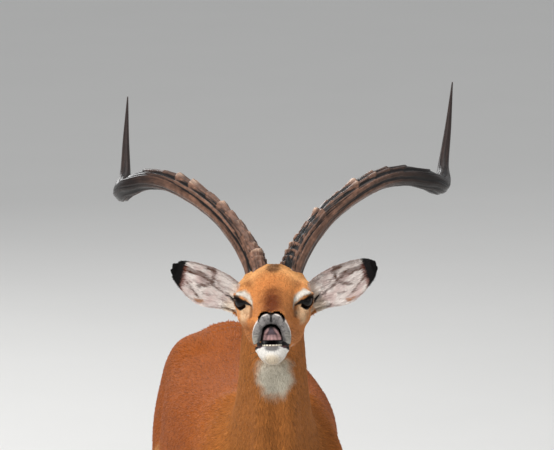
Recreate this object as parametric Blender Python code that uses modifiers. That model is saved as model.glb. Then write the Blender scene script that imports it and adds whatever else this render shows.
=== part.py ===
# Impala ram standing with its head raised and its upper lip curled, as a still life-size model.
# Metres, +Z up. The ram faces -Y and its left side is at +X. The tables below are in
# centimetres, on a ram that stands 90 cm at the withers.
import math

import bmesh
import bpy
import numpy as np
from mathutils import Matrix, Vector

# Driving dimensions
shoulderHeight = 0.90
unit = shoulderHeight / 90.0  # metres in one unit of the tables
cutGap = 0.03  # between neighbouring pieces
coatDepth = 0.2  # the hair stands this far out from the skin
blockingVoxel = 0.72
fleshTriangles = 4400

headPose = dict(place=(-3.9, -38.5, 108.0), yaw=-8.5, pitch=7.0, roll=-1.0)
legSpread = dict(fore=7.4, hind=7.2)
foreStep = dict(left=-1.6, right=1.8)  # how far back each foot is set, against an even stance
hindStep = dict(left=2.4, right=-2.2)
eyeSize = dict(x=4.5, y=0.3, z=0.1, radius=1.65)
coronetHeight = 3.9
hoofSize = dict(toe=3.3, heel=2.4, width=1.85, cleft=0.22)
mouthRoof = -5.75  # the open mouth, in the head's own frame
mouthFloor = -6.5
mouthBack = -11.2
toothRow = dict(y=-12.75, across=1.5, forward=1.15, thickness=0.24, height=0.38, turn=66.0)


# Forms

def turnMatrix(x, y, z):
    turn = Matrix.Rotation(math.radians(z), 3, "Z")
    turn = turn @ Matrix.Rotation(math.radians(y), 3, "Y")
    turn = turn @ Matrix.Rotation(math.radians(x), 3, "X")
    return np.array(turn)


def curveThrough(rows, perSpan):
    # a smooth curve through rows of numbers, as Catmull and Rom draw it
    rows = np.array(rows, float)
    ends = np.vstack([2 * rows[0] - rows[1], rows, 2 * rows[-1] - rows[-2]])
    out = []
    for i in range(1, len(ends) - 2):
        a, b, c, d = ends[i - 1:i + 3]
        for t in np.arange(perSpan) / perSpan:
            linear = (c - a) * t
            square = (2 * a - 5 * b + 4 * c - d) * t ** 2
            cube = (3 * b - a - 3 * c + d) * t ** 3
            out.append(0.5 * (2 * b + linear + square + cube))
    out.append(rows[-1])
    return np.array(out)


def blend(a, b, reach):
    # the lesser of two distances, rounded where they are close
    share = np.clip(0.5 + 0.5 * (b - a) / reach, 0, 1)
    return b + (a - b) * share - reach * share * (1 - share)


class Sweep:
    # rows: x, y, z, half width, radius on the back or top, radius on the front or underside
    def __init__(self, rows, across=(1, 0, 0), perSpan=5):
        table = curveThrough(rows, perSpan)
        self.centre = table[:, :3]
        self.radii = np.maximum(table[:, 3:6], 0.05)
        along = np.gradient(self.centre, axis=0)
        self.along = along / np.linalg.norm(along, axis=1)[:, None]
        side = np.broadcast_to(np.array(across, float), along.shape)
        side = side - (side * self.along).sum(1)[:, None] * self.along
        self.side = side / np.linalg.norm(side, axis=1)[:, None]
        self.rise = np.cross(self.side, self.along)

    def distance(self, points):
        gaps = -2 * (points @ self.centre.T) + (self.centre ** 2).sum(1)
        near = gaps.argmin(1)
        offset = points - self.centre[near]
        ahead = (offset * self.along[near]).sum(1) > 0
        other = np.clip(near + np.where(ahead, 1, -1), 0, len(self.centre) - 1)
        span = self.centre[other] - self.centre[near]
        share = (offset * span).sum(1) / np.maximum((span ** 2).sum(1), 1e-9)
        share = np.clip(share, 0, 1)[:, None]

        def between(values):
            return values[near] + (values[other] - values[near]) * share

        offset = points - between(self.centre)
        radii = between(self.radii)
        out = (offset * between(self.side)).sum(1)
        up = (offset * between(self.rise)).sum(1)
        on = (offset * between(self.along)).sum(1)
        wide = radii[:, 0]
        high = np.where(up > 0, radii[:, 1], radii[:, 2])
        deep = np.minimum(wide, high)
        scaled = np.stack([out / wide, up / high, on / deep], 1)
        slopes = scaled / np.stack([wide, high, deep], 1)
        size = np.linalg.norm(scaled, axis=1) + 1e-6
        return size * (size - 1) / (np.linalg.norm(slopes, axis=1) + 1e-6)

    def blocking(self):
        balls = []
        last = len(self.centre) - 1
        for i in range(last + 1):
            wide, top, under = self.radii[i]
            spacing = np.linalg.norm(self.centre[max(i, 1)] - self.centre[max(i, 1) - 1])
            narrow = min(wide, top, under)
            deep = narrow if i in (0, last) else max(0.6 * narrow, 0.8 * spacing)
            high = 0.5 * (top + under)
            middle = self.centre[i] + self.rise[i] * 0.5 * (top - under)
            turn = np.stack([self.side[i], self.along[i], self.rise[i]], 1)
            balls.append((middle, (wide, deep, high), turn))
        return balls


class Egg:
    def __init__(self, centre, radii, turn=(0, 0, 0)):
        self.centre = np.array(centre, float)
        self.radii = np.array(radii, float)
        self.turn = turnMatrix(*turn)

    def distance(self, points):
        local = (points - self.centre) @ self.turn
        size = np.linalg.norm(local / self.radii, axis=1) + 1e-6
        slope = np.linalg.norm(local / self.radii ** 2, axis=1) + 1e-6
        return size * (size - 1) / slope

    def blocking(self):
        return [(self.centre, self.radii, self.turn)]


class Flesh:
    # forms joined one after another, each with the reach of its blend and, for one drawn on
    # the left side, its twin on the right
    def __init__(self):
        self.forms = []

    def add(self, form, reach, twin=False):
        self.forms.append((form, reach, twin))

    def distance(self, points):
        folded = points * [1, 1, 1]
        folded[:, 0] = np.abs(points[:, 0])
        total = np.full(len(points), 60.0)
        for form, reach, twin in self.forms:
            total = blend(total, form.distance(folded if twin else points), reach)
        return total

    def blocking(self):
        balls = []
        for form, _, twin in self.forms:
            for centre, radii, turn in form.blocking():
                balls.append((centre, radii, turn))
                if twin:
                    flip = np.diag([-1.0, 1.0, 1.0])
                    balls.append((flip @ centre, radii, flip @ turn @ flip))
        return balls


# Trunk, neck, tail and legs

def bodyFlesh():
    flesh = Flesh()
    flesh.add(Sweep([
        (0, -3.5, 70.5, 9.2, 15.0, 14.5),  # breast
        (0, 5.0, 69.2, 12.0, 18.2, 17.6),
        (0, 15.0, 68.0, 13.2, 18.6, 17.0),
        (0, 27.0, 67.6, 14.2, 18.8, 14.6),
        (0, 38.0, 69.2, 13.9, 18.4, 12.4),
        (0, 47.0, 71.8, 12.2, 17.4, 11.2),
        (0, 55.0, 74.8, 10.6, 15.6, 11.0),
        (0, 60.5, 76.0, 7.8, 11.8, 9.5),  # rump
    ]), 1.0)
    flesh.add(Sweep([
        (6.2, 4.0, 78.6, 4.4, 5.6, 5.0),
        (7.4, 14.0, 78.0, 5.0, 5.8, 6.0),  # ribs beside the back
        (8.2, 27.0, 77.8, 5.0, 5.8, 6.0),
        (7.4, 39.0, 79.2, 4.6, 5.6, 6.0),
        (6.2, 49.0, 80.0, 3.8, 5.0, 5.0),  # loin
    ]), 4.0, twin=True)
    flesh.add(Egg((0, -5.0, 63.5), (7.2, 11.0, 11.6), (-12, 0, 0)), 5.0)  # brisket
    flesh.add(Egg((0, -1.5, 81.0), (3.4, 9.5, 8.0)), 4.0)  # withers
    flesh.add(Sweep([
        (-2.9, -29.5, 103.0, 4.7, 5.4, 5.2),
        (-2.3, -24.5, 97.0, 5.1, 6.5, 6.3),
        (-1.4, -17.5, 89.0, 5.7, 8.2, 7.9),
        (-0.6, -10.5, 80.5, 6.8, 10.0, 9.6),
        (0.0, -6.5, 73.5, 7.6, 11.0, 10.5),  # base of the neck
    ]), 4.5)
    flesh.add(Sweep([
        (5.8, 2.5, 82.0, 2.6, 5.0, 5.0),
        (8.4, -2.0, 76.0, 3.0, 6.6, 6.4),
        (9.0, -7.5, 69.5, 3.0, 6.0, 5.4),
        (8.2, -11.0, 65.5, 2.8, 4.2, 4.0),  # point of the shoulder
    ]), 4.0, twin=True)
    flesh.add(Sweep([
        (8.5, -9.5, 65.0, 2.9, 5.2, 4.8),
        (9.0, -3.5, 59.5, 3.1, 5.6, 5.0),
        (8.7, 2.0, 54.5, 2.7, 3.8, 4.0),  # elbow
    ]), 3.0, twin=True)
    flesh.add(Egg((6.2, 48.0, 82.4), (3.6, 6.5, 4.6), (0, 25, 0)), 4.0, twin=True)  # hip
    flesh.add(Sweep([
        (6.0, 57.0, 79.5, 4.7, 8.0, 8.5),
        (8.0, 54.0, 71.0, 5.0, 10.0, 9.2),
        (8.9, 49.5, 62.8, 4.5, 8.8, 6.4),
        (8.9, 47.0, 58.0, 3.6, 6.6, 4.6),  # stifle
    ]), 3.5, twin=True)
    flesh.add(Sweep([
        (4.0, 62.5, 77.5, 3.6, 3.6, 5.0),
        (5.4, 62.2, 68.5, 3.8, 4.0, 6.0),
        (6.6, 59.0, 59.5, 3.2, 3.6, 5.0),  # ham
    ]), 3.0, twin=True)
    flesh.add(Egg((0, 50.5, 58.0), (2.3, 2.8, 3.6), (20, 0, 0)), 1.2)
    flesh.add(Sweep([
        (0, 32, 54.2, 1.0, 1.2, 1.0),
        (0, 38, 56.0, 1.3, 1.6, 1.3),
        (0, 43, 59.0, 1.2, 1.6, 1.0),
    ]), 1.8)
    for side, sign in (("left", 1), ("right", -1)):
        addForeleg(flesh, sign, foreStep[side])
        addHindleg(flesh, sign, hindStep[side])
    flesh.add(Sweep([
        (0, 61.5, 84.0, 2.5, 2.2, 2.2),
        (0, 66.8, 81.0, 2.3, 1.7, 1.7),
        (0, 69.9, 74.0, 2.3, 1.4, 1.4),
        (0, 70.9, 66.0, 2.2, 1.2, 1.2),
        (0, 70.8, 58.0, 2.0, 1.1, 1.1),
        (0, 70.4, 51.5, 1.2, 0.8, 0.8),  # tip of the tail
    ]), 1.6)
    return flesh


def addForeleg(flesh, sign, step):
    foot = legSpread["fore"] * sign
    flesh.add(Sweep([
        (foot + 1.0 * sign, 3.2, 55.0, 2.8, 3.4, 4.2),
        (foot + 0.9 * sign, 2.0 + 0.1 * step, 50.0, 2.9, 3.1, 3.9),
        (foot + 0.6 * sign, 1.2 + 0.3 * step, 43.0, 2.35, 2.4, 2.9),
        (foot + 0.3 * sign, 0.7 + 0.5 * step, 36.0, 1.75, 1.75, 2.0),
        (foot + 0.1 * sign, 0.5 + 0.6 * step, 32.5, 1.75, 1.75, 1.9),
    ]), 2.0)
    flesh.add(Sweep([
        (foot + 0.1 * sign, 0.4 + 0.6 * step, 33.0, 1.75, 1.8, 1.9),  # knee
        (foot, 0.4 + 0.63 * step, 30.5, 1.95, 1.9, 2.0),
        (foot, 0.5 + 0.68 * step, 27.6, 1.5, 1.75, 1.5),
        (foot, 0.7 + 0.75 * step, 24.0, 1.2, 1.5, 1.2),  # cannon
        (foot, 0.7 + 0.85 * step, 16.5, 1.12, 1.5, 1.15),
        (foot, 0.7 + 0.93 * step, 12.2, 1.35, 1.8, 1.25),
        (foot, 0.4 + 0.97 * step, 9.6, 1.7, 2.0, 1.65),  # fetlock
        (foot, -0.9 + step, 7.0, 1.55, 1.55, 1.55),
        (foot, -2.2 + step, 5.0, 1.75, 1.7, 1.6),  # pastern
        (foot, -3.0 + step, 3.6, 1.9, 2.0, 1.7),
    ], perSpan=4), 0.7)


def addHindleg(flesh, sign, step):
    foot = legSpread["hind"] * sign
    flesh.add(Sweep([
        (foot + 1.4 * sign, 47.0 + 0.1 * step, 60.0, 3.7, 6.4, 4.0),
        (foot + 1.3 * sign, 50.2 + 0.3 * step, 54.0, 3.5, 5.4, 4.2),
        (foot + 0.9 * sign, 54.8 + 0.5 * step, 47.5, 2.5, 3.8, 3.2),
        (foot + 0.5 * sign, 58.8 + 0.65 * step, 41.8, 1.7, 2.5, 2.1),
        (foot + 0.3 * sign, 60.8 + 0.75 * step, 38.4, 1.7, 2.0, 1.9),
    ]), 2.4)
    flesh.add(Sweep([
        (foot + 0.6 * sign, 59.0 + 0.2 * step, 58.5, 2.7, 3.2, 3.2),
        (foot + 0.8 * sign, 58.9 + 0.5 * step, 51.0, 1.7, 2.1, 2.1),
        (foot + 0.4 * sign, 61.4 + 0.66 * step, 45.0, 1.0, 1.2, 1.7),
        (foot + 0.2 * sign, 63.7 + 0.75 * step, 40.8, 1.0, 1.0, 1.5),  # point of the hock
        (foot + 0.2 * sign, 63.4 + 0.78 * step, 37.6, 1.1, 1.0, 1.4),
    ]), 1.5)
    flesh.add(Sweep([
        (foot + 0.3 * sign, 60.8 + 0.75 * step, 39.2, 1.8, 2.1, 1.9),
        (foot + 0.2 * sign, 61.4 + 0.8 * step, 36.2, 1.9, 2.3, 1.95),  # hock
        (foot + 0.1 * sign, 61.6 + 0.82 * step, 32.6, 1.5, 2.0, 1.6),
        (foot, 61.2 + 0.86 * step, 28.0, 1.2, 1.7, 1.35),  # cannon
        (foot, 60.2 + 0.92 * step, 18.5, 1.12, 1.55, 1.2),
        (foot, 59.5 + 0.96 * step, 12.8, 1.35, 1.8, 1.3),
        (foot, 58.9 + 0.98 * step, 10.0, 1.7, 2.0, 1.65),  # fetlock
        (foot, 57.4 + step, 7.2, 1.55, 1.55, 1.55),
        (foot, 56.0 + step, 5.0, 1.75, 1.7, 1.6),  # pastern
        (foot, 55.2 + step, 3.6, 1.9, 2.0, 1.7),
    ], perSpan=4), 0.7)


# Head, in its own frame

def headMatrix():
    turn = turnMatrix(0, 0, headPose["yaw"])
    turn = turn @ turnMatrix(-headPose["pitch"], 0, 0)
    return turn @ turnMatrix(0, headPose["roll"], 0)


def headFlesh():
    flesh = Flesh()
    flesh.add(Sweep([
        (0, 11.8, -0.9, 2.2, 2.2, 2.6),  # back of the head
        (0, 9.2, 0.0, 3.9, 3.8, 3.6),
        (0, 6.2, 0.6, 4.8, 4.7, 4.4),
        (0, 3.6, 0.7, 5.1, 5.0, 4.6),
        (0, 1.2, 0.2, 4.7, 4.85, 4.5),  # forehead
        (0, -1.4, -0.6, 3.9, 4.35, 4.0),
        (0, -4.0, -1.3, 3.35, 3.85, 3.4),
        (0, -7.0, -2.0, 2.9, 3.35, 2.7),
        (0, -10.0, -2.5, 2.55, 2.85, 2.1),
        (0, -13.0, -2.9, 2.35, 2.3, 1.6),
        (0, -14.4, -3.1, 2.15, 1.95, 1.4),  # end of the nose
    ], across=(-1, 0, 0)), 1.0)
    flesh.add(Sweep([
        (0, 5.0, -4.0, 3.7, 2.8, 3.0),  # angle of the jaw
        (0, 0.0, -5.3, 3.4, 2.4, 2.5),
        (0, -5.0, -6.6, 2.6, 1.6, 1.8),
        (0, -9.5, -7.5, 2.0, 1.0, 1.35),
        (0, -12.0, -7.7, 1.9, 0.9, 1.1),
    ], across=(-1, 0, 0)), 1.4)
    flesh.add(Egg((0, -4.4, -4.2), (3.15, 5.2, 3.0), (8, 0, 0)), 1.6)  # cheeks
    flesh.add(Egg((2.7, 2.4, -3.3), (2.1, 4.4, 3.5)), 1.8, twin=True)  # chewing muscle
    flesh.add(Egg((3.9, 0.8, 0.0), (2.1, 2.7, 2.2)), 1.1, twin=True)  # eye socket
    flesh.add(Egg((3.75, -0.6, -2.0), (1.45, 2.6, 1.3)), 1.5, twin=True)  # under the eye
    flesh.add(Sweep([
        (3.0, 4.2, 3.6, 1.3, 1.3, 1.3),
        (4.0, 2.9, 2.9, 1.3, 1.3, 1.3),
        (4.45, 1.3, 1.95, 0.95, 0.95, 0.95),  # brow
    ]), 1.4, twin=True)
    flesh.add(Sweep([
        (2.0, 3.9, 2.4, 1.7, 1.7, 1.7),
        (2.4, 4.4, 3.6, 1.8, 1.8, 1.8),  # foot of the horn
    ]), 1.6, twin=True)
    flesh.add(Sweep([
        (3.6, 6.3, -1.0, 2.0, 2.0, 1.9),
        (5.2, 6.6, 0.0, 1.7, 1.7, 1.6),
        (6.6, 6.6, 1.0, 1.1, 1.0, 1.0),  # root of the ear
    ]), 1.4, twin=True)
    flesh.add(Sweep([
        (0, -12.6, -2.7, 1.1, 1.2, 1.2),
        (0, -12.8, -3.6, 1.6, 1.5, 1.5),
        (0, -12.8, -4.6, 1.9, 1.5, 1.5),
        (0, -12.3, -5.2, 1.9, 1.6, 1.6),  # pad of the palate
    ]), 0.8)
    flesh.add(Sweep([
        (2.3, -12.3, -6.7, 0.45, 0.45, 0.45),  # corner of the lips
        (2.40, -13.6, -5.6, 0.64, 0.70, 0.70),
        (2.26, -14.6, -4.4, 0.72, 0.85, 0.85),
        (1.90, -15.2, -3.3, 0.72, 0.85, 0.85),
        (1.15, -15.6, -2.35, 0.66, 0.80, 0.80),
        (0.0, -15.75, -1.98, 0.60, 0.75, 0.75),  # curled upper lip
    ], across=(0, -1, 0)), 0.6, twin=True)
    flesh.add(Egg((1.15, -14.5, -1.35), (1.15, 1.1, 0.75), (0, 18, 0)), 0.5, twin=True)  # nostril
    flesh.add(Egg((0, -12.2, -7.35), (2.3, 2.3, 1.45)), 0.5)  # lower lip
    flesh.add(Egg((0, -12.2, -8.2), (1.3, 1.9, 1.1)), 0.9)  # chin
    return flesh


class WholeFlesh:
    # the body with the head set on the neck
    def __init__(self):
        self.body = bodyFlesh()
        self.head = headFlesh()
        self.turn = headMatrix()
        self.place = np.array(headPose["place"])

    def distance(self, points):
        local = (points - self.place) @ self.turn
        return blend(self.body.distance(points), self.head.distance(local), 3.0)

    def blocking(self):
        balls = self.body.blocking()
        for centre, radii, turn in self.head.blocking():
            balls.append((self.turn @ centre + self.place, radii, self.turn @ turn))
        return balls


# Objects

def clearScene():
    for old in list(bpy.data.objects):
        bpy.data.objects.remove(old, do_unlink=True)


def newCollection(name):
    group = bpy.data.collections.new(name)
    bpy.context.scene.collection.children.link(group)
    return group


def makeMaterial(name, colour, roughness):
    material = bpy.data.materials.new(name)
    material.use_nodes = True
    shader = material.node_tree.nodes["Principled BSDF"]
    shader.inputs["Base Color"].default_value = (*colour, 1.0)
    shader.inputs["Roughness"].default_value = roughness
    shader.inputs["Metallic"].default_value = 0.0
    return material


def newObject(name, mesh, group, material=None):
    made = bpy.data.objects.new(name, mesh)
    group.objects.link(made)
    if material:
        mesh.materials.clear()
        mesh.materials.append(material)
        mesh.shade_smooth()
        mesh.set_sharp_from_angle(angle=math.radians(40))
    return made


def evaluatedMesh(source):
    bpy.context.view_layer.update()
    graph = bpy.context.evaluated_depsgraph_get()
    return bpy.data.meshes.new_from_object(source.evaluated_get(graph))


def meshFromBmesh(bm, name):
    mesh = bpy.data.meshes.new(name)
    bm.to_mesh(mesh)
    bm.free()
    return mesh


def keepLargestBody(mesh):
    # drops the loose shards that a cut can leave, and welds its slivers
    bm = bmesh.new()
    bm.from_mesh(mesh)
    bmesh.ops.triangulate(bm, faces=bm.faces)
    bodies = []
    unseen = set(bm.verts)
    while unseen:
        stack = [unseen.pop()]
        found = set(stack)
        while stack:
            for edge in stack.pop().link_edges:
                for vert in edge.verts:
                    if vert in unseen:
                        unseen.remove(vert)
                        found.add(vert)
                        stack.append(vert)
        bodies.append(found)
    largest = max(bodies, key=len)
    loose = [vert for body in bodies if body is not largest for vert in body]
    bmesh.ops.delete(bm, geom=loose, context="VERTS")
    bm.to_mesh(mesh)
    bm.free()


# Flesh, blocked out and parted

def blockedFlesh(flesh, helpers):
    bm = bmesh.new()
    bmesh.ops.create_icosphere(bm, subdivisions=3, radius=1.0)
    ball = meshFromBmesh(bm, "ball")
    bm = bmesh.new()
    for centre, radii, turn in flesh.blocking():
        place = Matrix.Translation(Vector(centre)) @ Matrix(turn.tolist()).to_4x4()
        placed = ball.copy()
        placed.transform(place @ Matrix.Diagonal((*(float(r) for r in radii), 1.0)))
        bm.from_mesh(placed)
        bpy.data.meshes.remove(placed)
    block = newObject("flesh_blocking", meshFromBmesh(bm, "flesh_blocking"), helpers)
    remesh = block.modifiers.new("Voxels", "REMESH")
    remesh.mode = "VOXEL"
    remesh.voxel_size = blockingVoxel
    mesh = evaluatedMesh(block)
    bpy.data.objects.remove(block)
    return mesh


def settleOnSurface(mesh, flesh, depth, rounds=4, most=0.9, probe=0.02):
    # each vertex slides along the slope of the distance until it is depth outside the skin
    count = len(mesh.vertices)
    points = np.empty(count * 3, np.float32)
    mesh.vertices.foreach_get("co", points)
    points = points.reshape(-1, 3).astype(float)
    for _ in range(rounds):
        here = flesh.distance(points)
        value = here - depth
        slope = np.empty_like(points)
        for axis in range(3):
            shift = np.zeros(3)
            shift[axis] = probe
            slope[:, axis] = (flesh.distance(points + shift) - here) / probe
        steep = np.maximum((slope ** 2).sum(1), 0.1)
        move = -(value / steep)[:, None] * slope
        length = np.maximum(np.linalg.norm(move, axis=1), 1e-9)
        points += move * np.minimum(1, most / length)[:, None]
    mesh.vertices.foreach_set("co", points.astype(np.float32).ravel())
    mesh.update()


def thinned(mesh, triangles, helpers):
    whole = newObject("flesh_whole", mesh, helpers)
    faces = sum(len(face.vertices) - 2 for face in mesh.polygons)
    decimate = whole.modifiers.new("Decimate", "DECIMATE")
    decimate.ratio = triangles / faces
    result = evaluatedMesh(whole)
    bpy.data.objects.remove(whole)
    return result


def boxCutter(name, centre, size, turn, helpers, grow=0.0):
    bm = bmesh.new()
    bmesh.ops.create_cube(bm, size=1.0)
    mesh = meshFromBmesh(bm, name)
    cutter = newObject(name, mesh, helpers)
    place = Matrix.Translation(Vector(centre)) @ Matrix(turn.tolist()).to_4x4()
    cutter.matrix_world = place @ Matrix.Diagonal([side + 2 * grow for side in size] + [1.0])
    hideHelper(cutter)
    return cutter


def hideHelper(helper):
    helper.hide_render = True
    helper.display_type = "WIRE"


def cut(mesh, cutter, operation, helpers):
    target = newObject("cut_target", mesh, helpers)
    boolean = target.modifiers.new("Cut", "BOOLEAN")
    boolean.operation = operation
    boolean.solver = "EXACT"
    boolean.object = cutter
    result = evaluatedMesh(target)
    bpy.data.objects.remove(target)
    keepLargestBody(result)
    return result


def partOff(rest, name, centre, size, turn, helpers):
    # the piece of rest inside a box, and rest without it, with the cut's gap between them
    inner = boxCutter(name + "_bounds", centre, size, turn, helpers)
    outer = boxCutter(name + "_cut", centre, size, turn, helpers, grow=cutGap)
    piece = cut(rest.copy(), inner, "INTERSECT", helpers)
    remainder = cut(rest, outer, "DIFFERENCE", helpers)
    return piece, remainder


def boxAlong(start, direction, length=60.0, width=60.0):
    # a box that begins at a plane through start and runs along direction
    direction = Vector(direction).normalized()
    turn = np.array(direction.to_track_quat("Z", "Y").to_matrix())
    centre = Vector(start) + direction * (length / 2)
    return centre, (width, width, length), turn


def boxBetween(low, high):
    low = np.array(low, float)
    high = np.array(high, float)
    return (low + high) / 2, tuple(high - low), np.eye(3)


def partTheFlesh(rest, helpers):
    pieces = {}
    feet = boxBetween((-20, -60, -5), (20, 80, coronetHeight))
    _, rest = partOff(rest, "feet", *feet, helpers)
    neckTop = boxAlong((-2.85, -29.0, 101.6), (-0.08, -0.64, 0.77))
    headPiece, rest = partOff(rest, "head", *neckTop, helpers)
    jaw = headBox((-4, -20, -13), (4, -8.2, mouthFloor))
    pieces["lower_jaw"], upperHead = partOff(headPiece, "lower_jaw", *jaw, helpers)
    mouth = headBox((-4, -20, mouthFloor - 1.0), (4, mouthBack, mouthRoof))
    opening = boxCutter("open_mouth", *mouth, helpers)
    pieces["head"] = cut(upperHead, opening, "DIFFERENCE", helpers)
    neckBase = boxAlong((0, -9.5, 82.0), (0, -0.72, 0.69))
    pieces["neck"], rest = partOff(rest, "neck", *neckBase, helpers)
    tailBox = ((0, 73.8, 64.6), (5.4, 10, 36), turnMatrix(8, 0, 0))
    pieces["tail"], rest = partOff(rest, "tail", *tailBox, helpers)
    for side, sign in (("left", 1), ("right", -1)):
        inner = 4.4 * sign
        outer = 20.0 * sign
        fore = boxBetween((min(inner, outer), -9, 0), (max(inner, outer), 9, 51.8))
        hind = boxBetween((min(inner, outer), 42.5, 0), (max(inner, outer), 72, 58.0))
        knee = boxBetween((-20, -20, 0), (20, 20, 30.8))
        hock = boxBetween((-20, 40, 0), (20, 80, 36.8))
        for leg, region, joint in (("foreleg", fore, knee), ("hindleg", hind, hock)):
            name = leg + "_" + side
            limb, rest = partOff(rest, name, *region, helpers)
            lower, upper = partOff(limb, name + "_lower", *joint, helpers)
            pieces[name + "_lower"] = lower
            pieces[name + "_upper"] = upper
    pieces["trunk"] = rest
    return pieces


def headBox(low, high):
    centre, size, _ = boxBetween(low, high)
    turn = headMatrix()
    return turn @ centre + np.array(headPose["place"]), size, turn


# Eyes, horns, ears and hooves

def toHeadPlace(point):
    return headMatrix() @ np.array(point, float) + np.array(headPose["place"])


def eyeBall(radius, sign):
    bm = bmesh.new()
    bmesh.ops.create_uvsphere(bm, u_segments=12, v_segments=8, radius=radius)
    place = toHeadPlace((eyeSize["x"] * sign, eyeSize["y"], eyeSize["z"]))
    bmesh.ops.translate(bm, vec=Vector(place), verts=bm.verts)
    bmesh.ops.triangulate(bm, faces=bm.faces)
    return meshFromBmesh(bm, "eye")


hornPath = [  # x, y, z and radius, from the root inside the brow to the tip
    (2.45, 3.6, 3.7, 1.70),
    (2.75, 4.6, 5.3, 1.72),
    (3.85, 7.0, 7.5, 1.70),
    (5.6, 9.6, 10.0, 1.68),
    (8.3, 13.0, 13.2, 1.68),
    (11.7, 16.5, 15.9, 1.66),
    (15.3, 20.0, 17.9, 1.63),
    (18.1, 22.5, 18.8, 1.60),
    (21.2, 25.3, 18.9, 1.58),
    (24.0, 28.0, 18.1, 1.54),
    (25.7, 31.2, 17.0, 1.44),
    (26.1, 34.6, 17.7, 1.16),
    (26.0, 37.6, 19.9, 0.84),
    (26.4, 41.4, 25.6, 0.46),
    (26.7, 45.4, 32.6, 0.10),
]
hornRings = dict(first=0.04, last=0.62, count=10, height=0.06, perSpan=3)
hornLean = {1: (1.9, 1.0), -1: (-2.0, -0.65)}  # each tip's shift outward and up, left and right
leanFrom = 0.5  # of the horn's length


def hornStations(sign):
    table = curveThrough(hornPath, hornRings["perSpan"])
    steps = np.linalg.norm(np.diff(table[:, :3], axis=0), axis=1)
    along = np.concatenate([[0], np.cumsum(steps)])
    along /= along[-1]
    inRings = (along > hornRings["first"]) & (along < hornRings["last"])
    share = (along - hornRings["first"]) / (hornRings["last"] - hornRings["first"])
    share = np.maximum(share, 0)
    wave = np.cos(2 * math.pi * hornRings["count"] * share ** 0.85)
    radius = table[:, 3] * (1 + np.where(inRings, hornRings["height"] * wave, 0))
    outward, upward = hornLean[sign]
    lean = np.clip((along - leanFrom) / (1 - leanFrom), 0, 1)
    table[:, 0] += outward * lean
    table[:, 2] += upward * lean
    points = np.array([toHeadPlace((x * sign, y, z)) for x, y, z in table[:, :3]])
    return points, radius


def hornMesh(sign, helpers):
    points, radius = hornStations(sign)
    curve = bpy.data.curves.new("horn", "CURVE")
    curve.dimensions = "3D"
    curve.bevel_depth = 1.0
    curve.bevel_resolution = 2
    curve.use_fill_caps = True
    spline = curve.splines.new("POLY")
    spline.points.add(len(points) - 1)
    for target, place, size in zip(spline.points, points, radius):
        target.co = (*place, 1.0)
        target.radius = size
    source = newObject("horn_curve", curve, helpers)
    mesh = evaluatedMesh(source)
    bpy.data.objects.remove(source)
    bm = bmesh.new()
    bm.from_mesh(mesh)
    bmesh.ops.remove_doubles(bm, verts=bm.verts, dist=0.001)
    bmesh.ops.recalc_face_normals(bm, faces=bm.faces)
    bmesh.ops.triangulate(bm, faces=bm.faces)
    bm.to_mesh(mesh)
    bm.free()
    return mesh


earLine = [  # x, y, z, half width, depth of the cup
    (4.7, 4.8, -0.4, 1.60, 1.20),
    (5.5, 4.8, 0.1, 2.15, 1.50),
    (6.9, 4.8, 1.1, 2.40, 1.45),
    (8.5, 4.9, 2.0, 2.80, 1.30),
    (11.1, 5.1, 2.9, 3.15, 1.00),
    (13.9, 5.5, 4.2, 2.50, 0.65),
    (15.2, 5.8, 4.85, 1.85, 0.45),
    (16.3, 6.0, 5.5, 1.20, 0.30),
    (17.0, 6.1, 5.9, 0.50, 0.12),
]
earThickness = 0.42
earGrid = dict(along=10, across=6)


def thickened(sheet, thickness, helpers):
    # an open sheet made a closed solid by Solidify
    source = newObject("sheet", sheet, helpers)
    shell = source.modifiers.new("Shell", "SOLIDIFY")
    shell.thickness = thickness
    shell.offset = 0.0
    mesh = evaluatedMesh(source)
    bpy.data.objects.remove(source)
    bm = bmesh.new()
    bm.from_mesh(mesh)
    bmesh.ops.recalc_face_normals(bm, faces=bm.faces)
    bmesh.ops.triangulate(bm, faces=bm.faces)
    bm.to_mesh(mesh)
    bm.free()
    return mesh


def earMesh(sign, helpers):
    # an open cup with its mouth to the front, given its thickness by Solidify
    table = curveThrough(earLine, 4)
    bm = bmesh.new()
    bmesh.ops.create_grid(bm, x_segments=earGrid["along"], y_segments=earGrid["across"], size=1.0)
    facing = Vector((0.25, -0.95, 0.12)).normalized()
    for vert in bm.verts:
        place = (vert.co.x + 1) / 2 * (len(table) - 1)
        near = min(int(place), len(table) - 2)
        row = table[near] + (table[near + 1] - table[near]) * (place - near)
        along = Vector(table[near + 1, :3] - table[near, :3]).normalized()
        out = (facing - facing.dot(along) * along).normalized()
        across = out.cross(along)
        span = vert.co.y
        half, depth = row[3], row[4]
        local = Vector(row[:3]) + across * (half * span) - out * (depth * (1 - span ** 2))
        vert.co = Vector(toHeadPlace((local.x * sign, local.y, local.z)))
    return thickened(meshFromBmesh(bm, "ear_sheet"), earThickness, helpers)


def teethMesh(helpers):
    # the row of lower incisors as one upright band, standing on the floor of the mouth
    low = mouthFloor + cutGap
    bm = bmesh.new()
    bmesh.ops.create_grid(bm, x_segments=10, y_segments=1, size=1.0)
    for vert in bm.verts:
        angle = math.radians(vert.co.x * toothRow["turn"])
        x = math.sin(angle) * toothRow["across"]
        y = toothRow["y"] - math.cos(angle) * toothRow["forward"]
        z = low + (vert.co.y + 1) / 2 * toothRow["height"]
        vert.co = Vector(toHeadPlace((x, y, z)))
    return thickened(meshFromBmesh(bm, "tooth_sheet"), toothRow["thickness"], helpers)


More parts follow.
